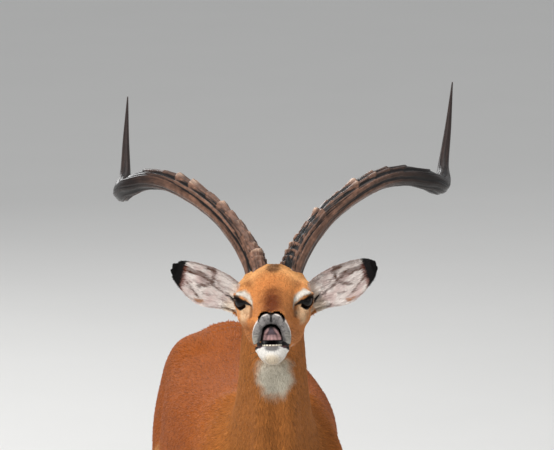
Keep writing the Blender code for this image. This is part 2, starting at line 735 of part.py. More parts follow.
def clawMesh(centre, sign):
    # one half of a cloven hoof, flat below, narrower at the coronet than at the ground
    x, y = centre
    rings = 3
    bm = bmesh.new()
    bmesh.ops.create_cone(bm, cap_ends=True, segments=10, radius1=1.0, radius2=1.0, depth=1.0)
    sides = [edge for edge in bm.edges if abs(edge.verts[0].co.z - edge.verts[1].co.z) > 0.5]
    bmesh.ops.subdivide_edges(bm, edges=sides, cuts=rings - 2)
    height = coronetHeight - cutGap
    half = hoofSize["width"] / 2
    for vert in bm.verts:
        lift = vert.co.z + 0.5
        toe = hoofSize["toe"] - 1.35 * lift
        heel = hoofSize["heel"] - 0.65 * lift
        reach = heel if vert.co.y > 0 else toe
        taper = 1 - 0.42 * max(0.0, -vert.co.y) ** 2 * (1 - 0.5 * lift)
        across = vert.co.x * half * taper * (1 - 0.05 * lift)
        offset = sign * (hoofSize["cleft"] / 2 + half)
        vert.co = Vector((x + offset + across, y + vert.co.y * reach, lift * height))
    bmesh.ops.triangulate(bm, faces=bm.faces)
    bmesh.ops.recalc_face_normals(bm, faces=bm.faces)
    return meshFromBmesh(bm, "claw")


def footPlaces():
    for side, sign in (("left", 1), ("right", -1)):
        yield "front_" + side, (legSpread["fore"] * sign, -2.9 + foreStep[side]), sign
        yield "hind_" + side, (legSpread["hind"] * sign, 55.3 + hindStep[side]), sign


# Assembly

def asCutter(name, mesh, helpers):
    cutter = newObject(name, mesh, helpers)
    hideHelper(cutter)
    return cutter


def grownShell(mesh, helpers):
    # the head's surface moved out by the gap, which trims what grows from it
    shell = newObject("head_trim", mesh.copy(), helpers)
    displace = shell.modifiers.new("Gap", "DISPLACE")
    displace.strength = cutGap
    displace.mid_level = 0.0
    hideHelper(shell)
    return shell


def build():
    clearScene()
    parts = newCollection("impala_ram")
    helpers = newCollection("cutters")
    coat = makeMaterial("coat", (0.42, 0.17, 0.07), 0.85)
    horn = makeMaterial("horn", (0.13, 0.11, 0.10), 0.55)
    eye = makeMaterial("eye", (0.03, 0.02, 0.015), 0.08)
    hoof = makeMaterial("hoof", (0.05, 0.045, 0.04), 0.5)
    teeth = makeMaterial("teeth", (0.75, 0.70, 0.58), 0.35)

    flesh = WholeFlesh()
    whole = blockedFlesh(flesh, helpers)
    settleOnSurface(whole, flesh, coatDepth)
    whole = thinned(whole, fleshTriangles, helpers)
    pieces = partTheFlesh(whole, helpers)

    headShell = grownShell(pieces["head"], helpers)
    for side, sign in (("left", 1), ("right", -1)):
        newObject("eye_" + side, eyeBall(eyeSize["radius"], sign), parts, eye)
        socket = asCutter("eye_socket_" + side, eyeBall(eyeSize["radius"] + cutGap, sign), helpers)
        pieces["head"] = cut(pieces["head"], socket, "DIFFERENCE", helpers)
        hornSolid = cut(hornMesh(sign, helpers), headShell, "DIFFERENCE", helpers)
        newObject("horn_" + side, hornSolid, parts, horn)
        earSolid = cut(earMesh(sign, helpers), headShell, "DIFFERENCE", helpers)
        newObject("ear_" + side, earSolid, parts, coat)
    newObject("lower_teeth", teethMesh(helpers), parts, teeth)
    for name, mesh in pieces.items():
        newObject(name, mesh, parts, coat)
    for foot, centre, _ in footPlaces():
        for half, way in (("outer", 1), ("inner", -1)):
            sign = way if foot.endswith("left") else -way
            newObject("hoof_" + foot + "_" + half, clawMesh(centre, sign), parts, hoof)
    standOnOrigin(parts, helpers)


def standOnOrigin(parts, helpers):
    # everything hangs from one empty, which brings the middle of the model's box to X = Y = 0
    corners = []
    for piece in parts.objects:
        for vert in piece.data.vertices:
            corners.append(vert.co)
    corners = np.array(corners)
    middle = (corners.min(0) + corners.max(0)) / 2
    root = bpy.data.objects.new("impala_origin", None)
    parts.objects.link(root)
    root.scale = (unit, unit, unit)
    root.location = (-middle[0] * unit, -middle[1] * unit, 0)
    for child in list(parts.objects) + list(helpers.objects):
        if child is not root:
            child.parent = root
    bpy.context.view_layer.update()


build()
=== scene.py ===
import math

import bmesh
import bpy
import numpy as np
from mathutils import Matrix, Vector


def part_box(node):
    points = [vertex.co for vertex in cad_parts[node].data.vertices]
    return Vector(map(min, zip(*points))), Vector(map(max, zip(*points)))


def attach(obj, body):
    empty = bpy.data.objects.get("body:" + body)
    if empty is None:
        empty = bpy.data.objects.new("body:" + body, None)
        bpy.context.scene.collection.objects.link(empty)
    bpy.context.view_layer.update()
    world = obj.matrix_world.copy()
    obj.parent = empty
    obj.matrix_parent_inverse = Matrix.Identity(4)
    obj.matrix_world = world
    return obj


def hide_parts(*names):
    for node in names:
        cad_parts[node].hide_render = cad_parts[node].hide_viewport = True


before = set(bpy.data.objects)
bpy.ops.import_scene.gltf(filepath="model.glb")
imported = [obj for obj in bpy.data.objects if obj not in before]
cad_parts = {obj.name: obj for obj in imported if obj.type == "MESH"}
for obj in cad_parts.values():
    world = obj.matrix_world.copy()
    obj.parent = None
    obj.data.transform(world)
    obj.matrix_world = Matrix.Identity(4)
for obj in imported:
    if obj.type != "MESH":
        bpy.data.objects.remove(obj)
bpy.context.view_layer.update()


def say(stage):
    print("stage:", stage, flush=True)


# Forms: a sweep along a curve and a turned egg, each giving a rough distance to its surface

def turnMatrix(x, y, z):
    a, b, c = (math.radians(v) for v in (x, y, z))
    aboutX = np.array([[1, 0, 0], [0, math.cos(a), -math.sin(a)], [0, math.sin(a), math.cos(a)]])
    aboutY = np.array([[math.cos(b), 0, math.sin(b)], [0, 1, 0], [-math.sin(b), 0, math.cos(b)]])
    aboutZ = np.array([[math.cos(c), -math.sin(c), 0], [math.sin(c), math.cos(c), 0], [0, 0, 1]])
    return aboutZ @ aboutY @ aboutX


def curveThrough(rows, perSpan):
    # a smooth curve through rows of numbers, as Catmull and Rom draw it
    rows = np.array(rows, float)
    ends = np.vstack([2 * rows[0] - rows[1], rows, 2 * rows[-1] - rows[-2]])
    out = []
    for i in range(1, len(ends) - 2):
        a, b, c, d = ends[i - 1:i + 3]
        for t in np.arange(perSpan) / perSpan:
            linear = (c - a) * t
            square = (2 * a - 5 * b + 4 * c - d) * t ** 2
            cube = (3 * b - a - 3 * c + d) * t ** 3
            out.append(0.5 * (2 * b + linear + square + cube))
    out.append(rows[-1])
    return np.array(out)


def unitRows(v):
    return v / np.maximum(np.linalg.norm(v, axis=-1, keepdims=True), 1e-9)


def softMin(a, b, reach):
    share = np.clip(0.5 + 0.5 * (b - a) / reach, 0, 1)
    return b + (a - b) * share - reach * share * (1 - share)


def softMax(a, b, reach):
    return -softMin(-a, -b, reach)


def ramp(value, low, high):
    t = np.clip((value - low) / (high - low), 0, 1)
    return t * t * (3 - 2 * t)


def fall(value, low, high):
    return 1 - ramp(value, low, high)


def nearestOn(line, along, points):
    # for each point its place along the line, and what reads the line's values there
    gaps = -2 * (points @ line.T) + (line ** 2).sum(1)
    near = gaps.argmin(1)
    offset = points - line[near]
    ahead = (offset * along[near]).sum(1) > 0
    other = np.clip(near + np.where(ahead, 1, -1), 0, len(line) - 1)
    span = line[other] - line[near]
    share = (offset * span).sum(1) / np.maximum((span ** 2).sum(1), 1e-9)
    share = np.clip(share, 0, 1).astype(np.float32)

    def between(values):
        mix = share if values.ndim == 1 else share[:, None]
        return values[near] + (values[other] - values[near]) * mix

    return (near + (other - near) * share) / (len(line) - 1), between


class Sweep:
    # rows: x, y, z, half width, radius on the back or top, radius on the front or underside
    def __init__(self, rows, across=(1, 0, 0), perSpan=5):
        table = curveThrough(rows, perSpan).astype(np.float32)
        self.centre = table[:, :3]
        self.radii = np.maximum(table[:, 3:6], 0.03)
        self.along = unitRows(np.gradient(self.centre, axis=0)).astype(np.float32)
        side = np.broadcast_to(np.array(across, np.float32), self.along.shape)
        side = side - (side * self.along).sum(1)[:, None] * self.along
        self.side = unitRows(side).astype(np.float32)
        self.rise = np.cross(self.side, self.along)
        reach = self.radii.max(1)[:, None]
        self.low = (self.centre - reach).min(0)
        self.high = (self.centre + reach).max(0)

    def nearest(self, points):
        place, between = nearestOn(self.centre, self.along, points)
        offset = points - between(self.centre)
        out = (offset * between(self.side)).sum(1)
        up = (offset * between(self.rise)).sum(1)
        on = (offset * between(self.along)).sum(1)
        return out, up, on, between(self.radii), place, between(self.along)

    def distance(self, points):
        out, up, on, radii, _, _ = self.nearest(points)
        wide = radii[:, 0]
        high = np.where(up > 0, radii[:, 1], radii[:, 2])
        deep = np.minimum(wide, high)
        a, b, c = out / wide, up / high, on / deep
        size = np.sqrt(a * a + b * b + c * c) + 1e-6
        slope = np.sqrt((a / wide) ** 2 + (b / high) ** 2 + (c / deep) ** 2) + 1e-6
        return size * (size - 1) / slope


class Egg:
    def __init__(self, centre, radii, turn=(0, 0, 0)):
        self.centre = np.array(centre, np.float32)
        self.radii = np.array(radii, np.float32)
        self.turn = turnMatrix(*turn).astype(np.float32)
        reach = np.abs(self.turn) @ self.radii
        self.low = self.centre - reach
        self.high = self.centre + reach

    def distance(self, points):
        local = (points - self.centre) @ self.turn
        size = np.sqrt(((local / self.radii) ** 2).sum(1)) + 1e-6
        slope = np.sqrt(((local / self.radii ** 2) ** 2).sum(1)) + 1e-6
        return size * (size - 1) / slope


class Shell:
    # a curved leaf along a line: rows hold x, y, z, half width and depth of the cup
    def __init__(self, rows, facing, thickness, perSpan=6):
        table = curveThrough(rows, perSpan).astype(np.float32)
        self.centre = table[:, :3]
        self.half = np.maximum(table[:, 3], 0.05)
        self.cup = table[:, 4]
        self.thickness = thickness
        self.along = unitRows(np.gradient(self.centre, axis=0)).astype(np.float32)
        facing = np.broadcast_to(np.array(facing, np.float32), self.along.shape)
        out = facing - (facing * self.along).sum(1)[:, None] * self.along
        self.out = unitRows(out).astype(np.float32)
        self.across = np.cross(self.out, self.along)
        reach = float(self.half.max() + self.cup.max()) + thickness
        self.low = self.centre.min(0) - reach
        self.high = self.centre.max(0) + reach

    def nearest(self, points):
        place, between = nearestOn(self.centre, self.along, points)
        offset = points - between(self.centre)
        side = (offset * between(self.across)).sum(1)
        out = (offset * between(self.out)).sum(1)
        on = (offset * between(self.along)).sum(1)
        return side, out, on, between(self.half), between(self.cup), place

    def distance(self, points):
        side, out, on, half, cup, _ = self.nearest(points)
        part = side / half
        floor = -cup * (1 - np.minimum(part * part, 1.3))
        slope = 2 * cup * part / half
        leaf = np.abs(out - floor) / np.sqrt(1 + np.minimum(slope * slope, 9)) - self.thickness / 2
        edge = (np.abs(part) - 1) * half
        edge = np.maximum(edge, np.abs(on) - self.thickness / 2)
        return softMax(leaf, edge, 0.12)


class Flesh:
    # forms joined or cut one after another, each with the reach of its blend; a twin is drawn
    # on the left side and stands on both
    def __init__(self):
        self.steps = []

    def add(self, form, reach, twin=False):
        self.steps.append((form, reach, twin, False))

    def cut(self, form, reach, twin=False):
        self.steps.append((form, reach, twin, True))

    def distance(self, points):
        folded = points.copy()
        folded[:, 0] = np.sqrt(points[:, 0] ** 2 + 0.04)
        total = np.full(len(points), 60, np.float32)
        for form, reach, twin, away in self.steps:
            local = folded if twin else points
            pad = np.float32(reach + 1.2)
            close = ((local > form.low - pad) & (local < form.high + pad)).all(1)
            if not close.any():
                continue
            value = form.distance(local[close])
            if away:
                total[close] = softMax(total[close], -value, reach)
            else:
                total[close] = softMin(total[close], value, reach)
        return total
# Trunk, neck, tail and legs

sides = (("left", 1), ("right", -1))
legSpread = dict(fore=7.4, hind=7.2)
foreStep = dict(left=-1.6, right=1.8)
hindStep = dict(left=2.4, right=-2.2)

trunkLine = [
    (0, -3.5, 70.5, 9.2, 15.0, 14.5),
    (0, 5.0, 69.2, 12.0, 18.2, 17.6),
    (0, 15.0, 68.0, 13.2, 18.6, 17.0),
    (0, 27.0, 67.6, 14.2, 18.8, 14.6),
    (0, 38.0, 69.2, 13.9, 18.0, 12.4),
    (0, 47.0, 71.8, 12.2, 16.9, 11.2),
    (0, 55.0, 74.8, 10.6, 14.9, 11.0),
    (0, 60.5, 76.0, 7.8, 11.8, 9.5),
]
neckLine = [
    (-2.9, -29.5, 103.0, 4.7, 5.4, 5.2),
    (-2.3, -24.5, 97.0, 5.1, 6.5, 6.3),
    (-1.4, -17.5, 89.0, 5.7, 8.2, 7.9),
    (-0.6, -10.5, 80.5, 6.8, 10.0, 9.6),
    (0.0, -6.5, 73.5, 7.6, 11.0, 10.5),
]
tailLine = [
    (0, 61.5, 84.0, 2.5, 2.2, 2.2),
    (0, 66.8, 81.0, 2.3, 1.7, 1.7),
    (0, 69.9, 74.0, 2.3, 1.4, 1.4),
    (0, 70.9, 66.0, 2.2, 1.2, 1.2),
    (0, 70.8, 58.0, 2.0, 1.1, 1.1),
    (0, 70.4, 51.5, 1.2, 0.8, 0.8),
]


def foreLine(sign, step):
    foot = legSpread["fore"] * sign
    upper = [
        (foot + 1.0 * sign, 3.2, 55.0, 2.8, 3.4, 4.2),
        (foot + 0.9 * sign, 2.0 + 0.1 * step, 50.0, 2.9, 3.1, 3.9),
        (foot + 0.6 * sign, 1.2 + 0.3 * step, 43.0, 2.35, 2.4, 2.9),
        (foot + 0.3 * sign, 0.7 + 0.5 * step, 36.0, 1.75, 1.75, 2.0),
        (foot + 0.1 * sign, 0.5 + 0.6 * step, 32.5, 1.75, 1.75, 1.9),
    ]
    lower = [
        (foot + 0.1 * sign, 0.4 + 0.6 * step, 33.0, 1.75, 1.8, 1.9),
        (foot, 0.4 + 0.63 * step, 30.5, 1.95, 1.9, 2.0),
        (foot, 0.5 + 0.68 * step, 27.6, 1.5, 1.75, 1.5),
        (foot, 0.7 + 0.75 * step, 24.0, 1.2, 1.5, 1.2),
        (foot, 0.7 + 0.85 * step, 16.5, 1.12, 1.5, 1.15),
        (foot, 0.7 + 0.93 * step, 12.2, 1.35, 1.8, 1.25),
        (foot, 0.4 + 0.97 * step, 9.6, 1.7, 2.0, 1.65),
        (foot, -0.9 + step, 7.0, 1.55, 1.55, 1.55),
        (foot, -2.2 + step, 5.0, 1.75, 1.7, 1.6),
        (foot, -3.0 + step, 3.6, 1.9, 2.0, 1.7),
    ]
    return upper, lower


def hindLine(sign, step):
    foot = legSpread["hind"] * sign
    upper = [
        (foot + 1.4 * sign, 47.0 + 0.1 * step, 60.0, 3.7, 6.4, 4.0),
        (foot + 1.3 * sign, 50.2 + 0.3 * step, 54.0, 3.5, 5.4, 4.2),
        (foot + 0.9 * sign, 54.8 + 0.5 * step, 47.5, 2.5, 3.8, 3.2),
        (foot + 0.5 * sign, 58.8 + 0.65 * step, 41.8, 1.7, 2.5, 2.1),
        (foot + 0.3 * sign, 60.8 + 0.75 * step, 38.4, 1.7, 2.0, 1.9),
    ]
    tendon = [
        (foot + 0.6 * sign, 59.0 + 0.2 * step, 58.5, 2.7, 3.2, 3.2),
        (foot + 0.8 * sign, 58.9 + 0.5 * step, 51.0, 1.7, 2.1, 2.1),
        (foot + 0.4 * sign, 61.4 + 0.66 * step, 45.0, 1.0, 1.2, 1.7),
        (foot + 0.2 * sign, 63.7 + 0.75 * step, 40.8, 1.0, 1.0, 1.5),
        (foot + 0.2 * sign, 63.4 + 0.78 * step, 37.6, 1.1, 1.0, 1.4),
    ]
    lower = [
        (foot + 0.3 * sign, 60.8 + 0.75 * step, 39.2, 1.8, 2.1, 1.9),
        (foot + 0.2 * sign, 61.4 + 0.8 * step, 36.2, 1.9, 2.3, 1.95),
        (foot + 0.1 * sign, 61.6 + 0.82 * step, 32.6, 1.5, 2.0, 1.6),
        (foot, 61.2 + 0.86 * step, 28.0, 1.2, 1.7, 1.35),
        (foot, 60.2 + 0.92 * step, 18.5, 1.12, 1.55, 1.2),
        (foot, 59.5 + 0.96 * step, 12.8, 1.35, 1.8, 1.3),
        (foot, 58.9 + 0.98 * step, 10.0, 1.7, 2.0, 1.65),
        (foot, 57.4 + step, 7.2, 1.55, 1.55, 1.55),
        (foot, 56.0 + step, 5.0, 1.75, 1.7, 1.6),
        (foot, 55.2 + step, 3.6, 1.9, 2.0, 1.7),
    ]
    return upper, tendon, lower


def bodyFlesh():
    flesh = Flesh()
    flesh.add(Sweep(trunkLine), 1.0)
    flesh.add(Sweep([
        (6.2, 4.0, 78.6, 4.4, 5.6, 5.0),
        (7.4, 14.0, 78.0, 5.0, 5.8, 6.0),
        (8.2, 27.0, 77.8, 5.0, 5.8, 6.0),
        (7.4, 39.0, 79.2, 4.6, 5.6, 6.0),
        (6.2, 49.0, 80.0, 3.8, 5.0, 5.0),
    ]), 4.0, twin=True)  # ribs and loin either side of the back
    flesh.add(Egg((0, -5.0, 63.5), (7.2, 11.0, 11.6), (-12, 0, 0)), 5.0)  # brisket
    flesh.add(Egg((0, -10.3, 68.5), (6.4, 5.5, 10.2), (-16, 0, 0)), 8.0)  # breast
    flesh.add(Egg((0, -1.5, 81.0), (3.4, 9.5, 8.0)), 4.0)  # withers
    flesh.add(Sweep(neckLine), 4.5)
    flesh.add(Sweep([
        (5.8, 2.5, 82.0, 2.6, 5.0, 5.0),
        (8.4, -2.0, 76.0, 3.0, 6.6, 6.4),
        (9.0, -7.5, 69.5, 3.0, 6.0, 5.4),
        (8.4, -9.8, 65.5, 2.6, 3.8, 3.8),  # point of the shoulder
    ]), 4.0, twin=True)
    flesh.add(Sweep([
        (8.5, -9.5, 65.0, 2.9, 5.2, 4.8),
        (9.0, -3.5, 59.5, 3.1, 5.6, 5.0),
        (8.7, 2.0, 54.5, 2.7, 3.8, 4.0),  # elbow
    ]), 3.0, twin=True)
    flesh.add(Egg((6.2, 48.0, 82.4), (3.6, 6.5, 4.6), (0, 25, 0)), 4.0, twin=True)  # hip
    flesh.add(Egg((0, 57.5, 77.0), (7.4, 8.4, 8.0), (14, 0, 0)), 5.0)  # rump
    flesh.add(Sweep([
        (6.0, 57.0, 79.5, 4.7, 8.0, 8.5),
        (8.0, 54.0, 71.0, 5.0, 10.0, 9.2),
        (8.9, 49.5, 62.8, 4.5, 8.8, 6.4),
        (8.9, 47.0, 58.0, 3.6, 6.6, 4.6),  # stifle
    ]), 3.5, twin=True)
    flesh.add(Sweep([
        (4.0, 62.5, 77.5, 3.6, 3.6, 5.0),
        (5.4, 62.2, 68.5, 3.8, 4.0, 6.0),
        (6.6, 59.0, 59.5, 3.2, 3.6, 5.0),  # ham
    ]), 3.0, twin=True)
    flesh.add(Egg((0, 50.5, 58.0), (2.3, 2.8, 3.6), (20, 0, 0)), 1.2)  # scrotum
    flesh.add(Sweep([
        (0, 32, 54.2, 1.0, 1.2, 1.0),
        (0, 38, 56.0, 1.3, 1.6, 1.3),
        (0, 43, 59.0, 1.2, 1.6, 1.0),
    ]), 1.8)  # sheath
    for side, sign in sides:
        upper, lower = foreLine(sign, foreStep[side])
        flesh.add(Sweep(upper), 2.0)
        flesh.add(Sweep(lower, perSpan=4), 0.7)
        upper, tendon, lower = hindLine(sign, hindStep[side])
        flesh.add(Sweep(upper), 2.4)
        flesh.add(Sweep(tendon), 1.5)
        flesh.add(Sweep(lower, perSpan=4), 0.7)
    flesh.add(Sweep(tailLine), 1.6)
    addMuscles(flesh)
    return flesh


def addMuscles(flesh):
    # shallow forms and hollows over the main masses
    flesh.add(Sweep([
        (7.0, 0.5, 82.0, 0.5, 1.0, 1.0),
        (10.6, -3.5, 74.5, 0.6, 1.0, 1.0),
        (11.4, -8.0, 67.5, 0.6, 1.2, 1.2),
    ]), 1.6, twin=True)  # spine of the shoulder blade
    flesh.cut(Sweep([
        (13.7, 7.5, 74.5, 0.6, 1.2, 1.2),
        (13.5, 6.0, 67.0, 0.6, 1.4, 1.4),
        (12.4, 5.0, 60.0, 0.6, 1.2, 1.2),
    ]), 1.8, twin=True)  # hollow behind the shoulder
    flesh.cut(Sweep([
        (8.0, 63.8, 72.0, 0.35, 0.6, 0.6),
        (9.6, 60.5, 64.0, 0.35, 0.6, 0.6),
        (10.2, 56.5, 57.0, 0.3, 0.5, 0.5),
    ]), 0.9, twin=True)  # groove of the ham
    flesh.add(Sweep([
        (9.2, 43.5, 60.5, 0.7, 1.0, 1.6),
        (8.0, 39.0, 58.2, 0.7, 1.0, 1.2),
        (6.0, 34.0, 57.0, 0.5, 0.8, 0.8),
    ]), 2.4, twin=True)  # fold of the flank
    for sign in (1, -1):
        flesh.add(Sweep([
            (-2.7 + 1.9 * sign, -30.0, 95.5, 1.0, 1.0, 1.0),
            (-1.7 + 2.1 * sign, -22.9, 84.2, 1.2, 1.3, 1.3),
            (-0.9 + 2.0 * sign, -17.2, 74.9, 1.2, 1.3, 1.3),
        ]), 2.2)  # muscles beside the windpipe


# Head, drawn in its own frame: x to its left, -y to the muzzle, z up

headPose = dict(place=(-3.9, -38.5, 108.0), yaw=-8.5, pitch=7.0, roll=-1.0)
eyeShape = dict(x=4.5, y=0.3, z=0.1, radius=1.65, lidThickness=0.15)
lidOpening = dict(halfLength=1.58, above=0.52, below=0.92, facing=(0.57, -0.80, -0.17), slant=18.0)
earShape = dict(facing=(0.22, -0.96, 0.10), thickness=0.34)
earLine = [
    (4.2, 4.9, -0.9, 1.95, 1.35),
    (5.5, 4.8, -0.2, 2.15, 1.50),
    (6.9, 4.8, 0.7, 2.45, 1.45),
    (8.5, 4.9, 1.5, 2.85, 1.30),
    (11.0, 5.1, 2.40, 3.15, 1.00),
    (13.4, 5.5, 3.85, 2.50, 0.65),
    (14.7, 5.8, 4.60, 1.92, 0.45),
    (15.6, 6.0, 5.05, 1.35, 0.30),
    (16.2, 6.1, 5.30, 0.75, 0.12),
]

headTurn = turnMatrix(0, 0, headPose["yaw"]) @ turnMatrix(-headPose["pitch"], 0, 0)
headTurn = (headTurn @ turnMatrix(0, headPose["roll"], 0)).astype(np.float32)
headPlace = np.array(headPose["place"], np.float32)
eyeCentre = np.array([eyeShape["x"], eyeShape["y"], eyeShape["z"]], np.float32)


def toHead(points):
    return (points - headPlace) @ headTurn


def fromHead(points):
    return np.asarray(points) @ headTurn.T + headPlace


def lidAxes():
    # out of the eye, along the slit from front to back, and up across it
    out = np.array(lidOpening["facing"], float)
    out /= np.linalg.norm(out)
    level = np.cross([0, 0, 1.0], out)
    level /= np.linalg.norm(level)
    up = np.cross(out, level)
    slant = math.radians(lidOpening["slant"])
    slit = math.cos(slant) * level + math.sin(slant) * up
    return out, slit, np.cross(out, slit)


lidFrame = np.stack(lidAxes(), 1).astype(np.float32)


def lidSlit(points):
    # signed distance, in the plane of the lids, to the edge of the opening; and the depth
    local = (points - eyeCentre) @ lidFrame
    depth, along, up = local.T
    half, edges = lidOpening["halfLength"], []
    for bow, way in ((lidOpening["above"], 1), (lidOpening["below"], -1)):
        radius = (half * half + bow * bow) / (2 * bow)
        edges.append(np.sqrt(along ** 2 + (up + way * (radius - bow)) ** 2) - radius)
    return np.maximum(*edges), depth, up


class LidCut:
    def __init__(self):
        self.low = eyeCentre - 1.9
        self.high = eyeCentre + 3.2

    def distance(self, points):
        edge, depth, _ = lidSlit(points)
        return np.maximum(edge, -0.15 - depth)


def headFlesh():
    flesh = Flesh()
    flesh.add(Sweep([
        (0, 11.8, -0.9, 2.2, 2.2, 2.6),
        (0, 9.2, 0.0, 3.9, 3.8, 3.6),
        (0, 6.2, 0.6, 4.8, 4.7, 4.4),
        (0, 3.6, 0.7, 5.1, 5.0, 4.6),
        (0, 1.2, 0.2, 4.7, 4.85, 4.5),
        (0, -1.4, -0.6, 3.9, 4.35, 4.0),
        (0, -4.0, -1.3, 3.35, 3.85, 3.4),
        (0, -7.0, -2.0, 2.9, 3.35, 2.7),
        (0, -10.0, -2.5, 2.55, 2.85, 2.1),
        (0, -13.0, -2.9, 2.35, 2.3, 1.6),
        (0, -14.4, -3.1, 2.15, 1.95, 1.4),
    ], across=(-1, 0, 0)), 1.0)  # skull and bridge of the nose
    flesh.add(Sweep([
        (0, 5.0, -4.0, 3.7, 2.8, 3.0),
        (0, 0.0, -5.3, 3.4, 2.4, 2.5),
        (0, -5.0, -6.6, 2.6, 1.6, 1.8),
        (0, -9.5, -7.5, 2.0, 1.0, 1.35),
        (0, -12.0, -7.7, 1.9, 0.9, 1.1),
    ], across=(-1, 0, 0)), 1.4)  # lower jaw
    flesh.add(Egg((0, -4.4, -4.2), (3.15, 5.2, 3.0), (8, 0, 0)), 1.6)  # cheeks
    flesh.add(Egg((2.7, 2.4, -3.3), (2.1, 4.4, 3.5)), 1.8, twin=True)  # chewing muscle
    flesh.add(Egg((3.9, 0.8, 0.0), (2.1, 2.7, 2.2)), 1.1, twin=True)  # eye socket
    flesh.add(Sweep([
        (2.9, 4.0, 3.15, 1.2, 1.2, 1.2),
        (3.8, 2.8, 2.6, 1.25, 1.25, 1.25),
        (4.65, 1.5, 2.1, 1.05, 1.05, 1.05),
    ]), 1.4, twin=True)  # brow
    flesh.add(Sweep([
        (2.0, 3.9, 2.3, 1.7, 1.7, 1.7),
        (2.3, 4.4, 3.5, 1.75, 1.75, 1.75),
    ]), 1.6, twin=True)  # foot of the horn
    addFace(flesh)
    addEars(flesh)
    addMouth(flesh)
    addLids(flesh)
    return flesh


def addFace(flesh):
    flesh.add(Egg((3.75, -0.6, -2.0), (1.45, 2.6, 1.3)), 1.5, twin=True)  # under the eye
    flesh.add(Sweep([
        (3.3, -4.6, -3.2, 0.5, 0.5, 0.5),
        (4.1, -1.6, -2.6, 0.8, 0.8, 0.8),
        (4.55, 2.0, -2.3, 0.85, 0.9, 0.9),
        (4.4, 5.4, -1.6, 0.9, 0.9, 0.9),
    ]), 1.7, twin=True)  # cheekbone
    flesh.cut(Sweep([
        (4.0, -3.0, -0.9, 0.30, 0.5, 0.5),
        (3.5, -5.2, -1.5, 0.25, 0.45, 0.45),
    ]), 1.1, twin=True)  # hollow ahead of the eye
    flesh.cut(Egg((3.7, -8.2, -4.6), (0.7, 2.6, 0.8)), 1.0, twin=True)  # hollow cheek


def addEars(flesh):
    flesh.add(Sweep([
        (3.6, 6.3, -1.0, 2.0, 2.0, 1.9),
        (5.2, 6.6, 0.0, 1.7, 1.7, 1.6),
        (6.9, 6.6, 1.1, 1.1, 1.0, 1.0),
    ]), 1.4, twin=True)  # root of the ear
    flesh.cut(Sweep([
        (5.6, 3.3, -0.4, 0.9, 1.1, 1.1),
        (6.9, 3.7, 0.8, 1.5, 1.2, 1.2),
        (8.6, 3.9, 1.9, 1.9, 1.2, 1.2),
    ], across=(0, -1, 0)), 0.5, twin=True)  # mouth of the ear
    flesh.add(Shell(earLine, earShape["facing"], earShape["thickness"]), 0.45, twin=True)
    flesh.cut(Sweep([
        (5.2, 4.6, -1.0, 0.8, 0.14, 0.14),
        (6.2, 5.2, 0.0, 0.9, 0.22, 0.22),
        (7.3, 5.4, 1.1, 0.7, 0.12, 0.12),
    ], across=(0, -1, 0)), 0.2, twin=True)  # slit of the ear
    flesh.add(Sweep([
        (5.4, 3.7, -1.7, 0.35, 0.35, 0.35),
        (6.5, 4.0, -1.0, 0.32, 0.32, 0.32),
        (8.0, 4.3, -0.7, 0.22, 0.22, 0.22),
    ]), 0.6, twin=True)  # lower rim


